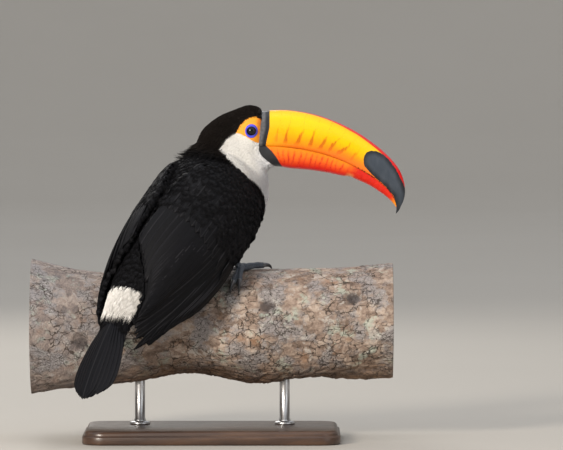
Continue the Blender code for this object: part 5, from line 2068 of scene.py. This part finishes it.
# what each piece stands in for, and the part it moves with
eyeballs = joined("eyeballs", list(eyeParts.values()))
replaced = {
    skin: ("trunk", "neck", "head", "tail", "wing_left", "wing_right", "thigh_left", "thigh_right",
           "shank_left", "shank_right", "foot_left", "foot_right"),
    eyeballs: ("eye_left", "eye_right"),
    billUpper: ("bill_upper",),
    billLower: ("bill_lower",),
    claws: tuple(f"claw_{side}_{toe}" for side in ("left", "right") for toe in legs["toes"]),
    perch: ("perch",),
    standBase: ("stand_base",),
    standRods: ("stand_rod_left", "stand_rod_right"),
}
for piece, nodes in replaced.items():
    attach(piece, "root")
    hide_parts(*nodes)
for piece in coat + [lids, footScutes]:
    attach(piece, "root")
slots = {
    "feathers": [skin] + coat, "leg_skin": [footScutes], "claw_horn": [claws],
    "bill_horn_upper": [billUpper], "bill_horn_lower": [billLower], "eye": [eyeballs],
    "bark": [perch], "base_wood": [standBase], "rod_steel": [standRods],
}


# a pale room, soft light and the camera
def makeRoom():
    # a floor that curves up into a round wall, as metres out and up
    rows = ((4.0, 0.0), (9.0, 0.0), (10.5, 0.15), (11.6, 0.6), (12.3, 1.4), (12.7, 2.6), (12.9, 4.5),
            (13.0, 7.0))
    sides = 96
    points = [(reach * 1000 * math.cos(2 * math.pi * i / sides),
               reach * 1000 * math.sin(2 * math.pi * i / sides), rise * 1000 - 0.3)
              for reach, rise in rows for i in range(sides)]
    faces = [tuple(reversed(face)) for face in ringFaces(len(rows), sides, capped=False)]
    faces.append(tuple(range(sides)))
    material, tree = finishOf("paleFloor", Roughness=0.8)
    colour = blend(speckle(placed(tree), 1.3, 3.0), (0.45, 0.42, 0.375), (0.48, 0.45, 0.405))
    dressed(material, colour, speckle(placed(tree), 300.0, 2.0), 0.1, 0.001)
    meshObject("floor", points, faces, material)


def softLight(name, place, size, power, colour, aim=(0.0, 0.0, 0.24)):
    data = bpy.data.lights.new(name, "AREA")
    data.shape = "DISK"
    data.size = size
    data.energy = power
    data.color = colour
    lamp = newObject(name, data)
    lamp.location = place
    lamp.rotation_mode = "QUATERNION"
    lamp.rotation_quaternion = (Vector(aim) - Vector(place)).to_track_quat("-Z", "Y")


makeRoom()
softLight("key", (-1.6, -2.6, 1.2), 0.8, 104.0, (1.0, 0.92, 0.82))
softLight("fill", (2.6, -2.4, 1.0), 2.0, 12.0, (0.95, 0.97, 1.0))
softLight("rim", (-0.6, 2.4, 1.6), 1.2, 16.0, (1.0, 0.96, 0.90))
softLight("top", (-0.3, -0.4, 3.0), 1.8, 7.0, (1.0, 0.98, 0.95))
world = bpy.data.worlds.new("room light")
bpy.context.scene.world = world
world.use_nodes = True
background = world.node_tree.nodes["Background"]
background.inputs["Color"].default_value = (0.92, 0.95, 1.0, 1.0)
background.inputs["Strength"].default_value = 0.9
bpy.context.scene.view_settings.view_transform = "Standard"

view = {"lens": 400.0, "width": 0.65871, "rise": 2.0, "aim": (0.0813, 0.0, 0.2515)}
camera = newObject("camera", bpy.data.cameras.new("camera"))
camera.data.lens = view["lens"]
camera.data.clip_end = 100.0
far = view["lens"] / camera.data.sensor_width * view["width"]
rise = math.radians(view["rise"])
camera.location = (view["aim"][0], -math.cos(rise) * far, view["aim"][2] + math.sin(rise) * far)
camera.rotation_euler = (math.pi / 2 - rise, 0.0, 0.0)
bpy.context.scene.camera = camera
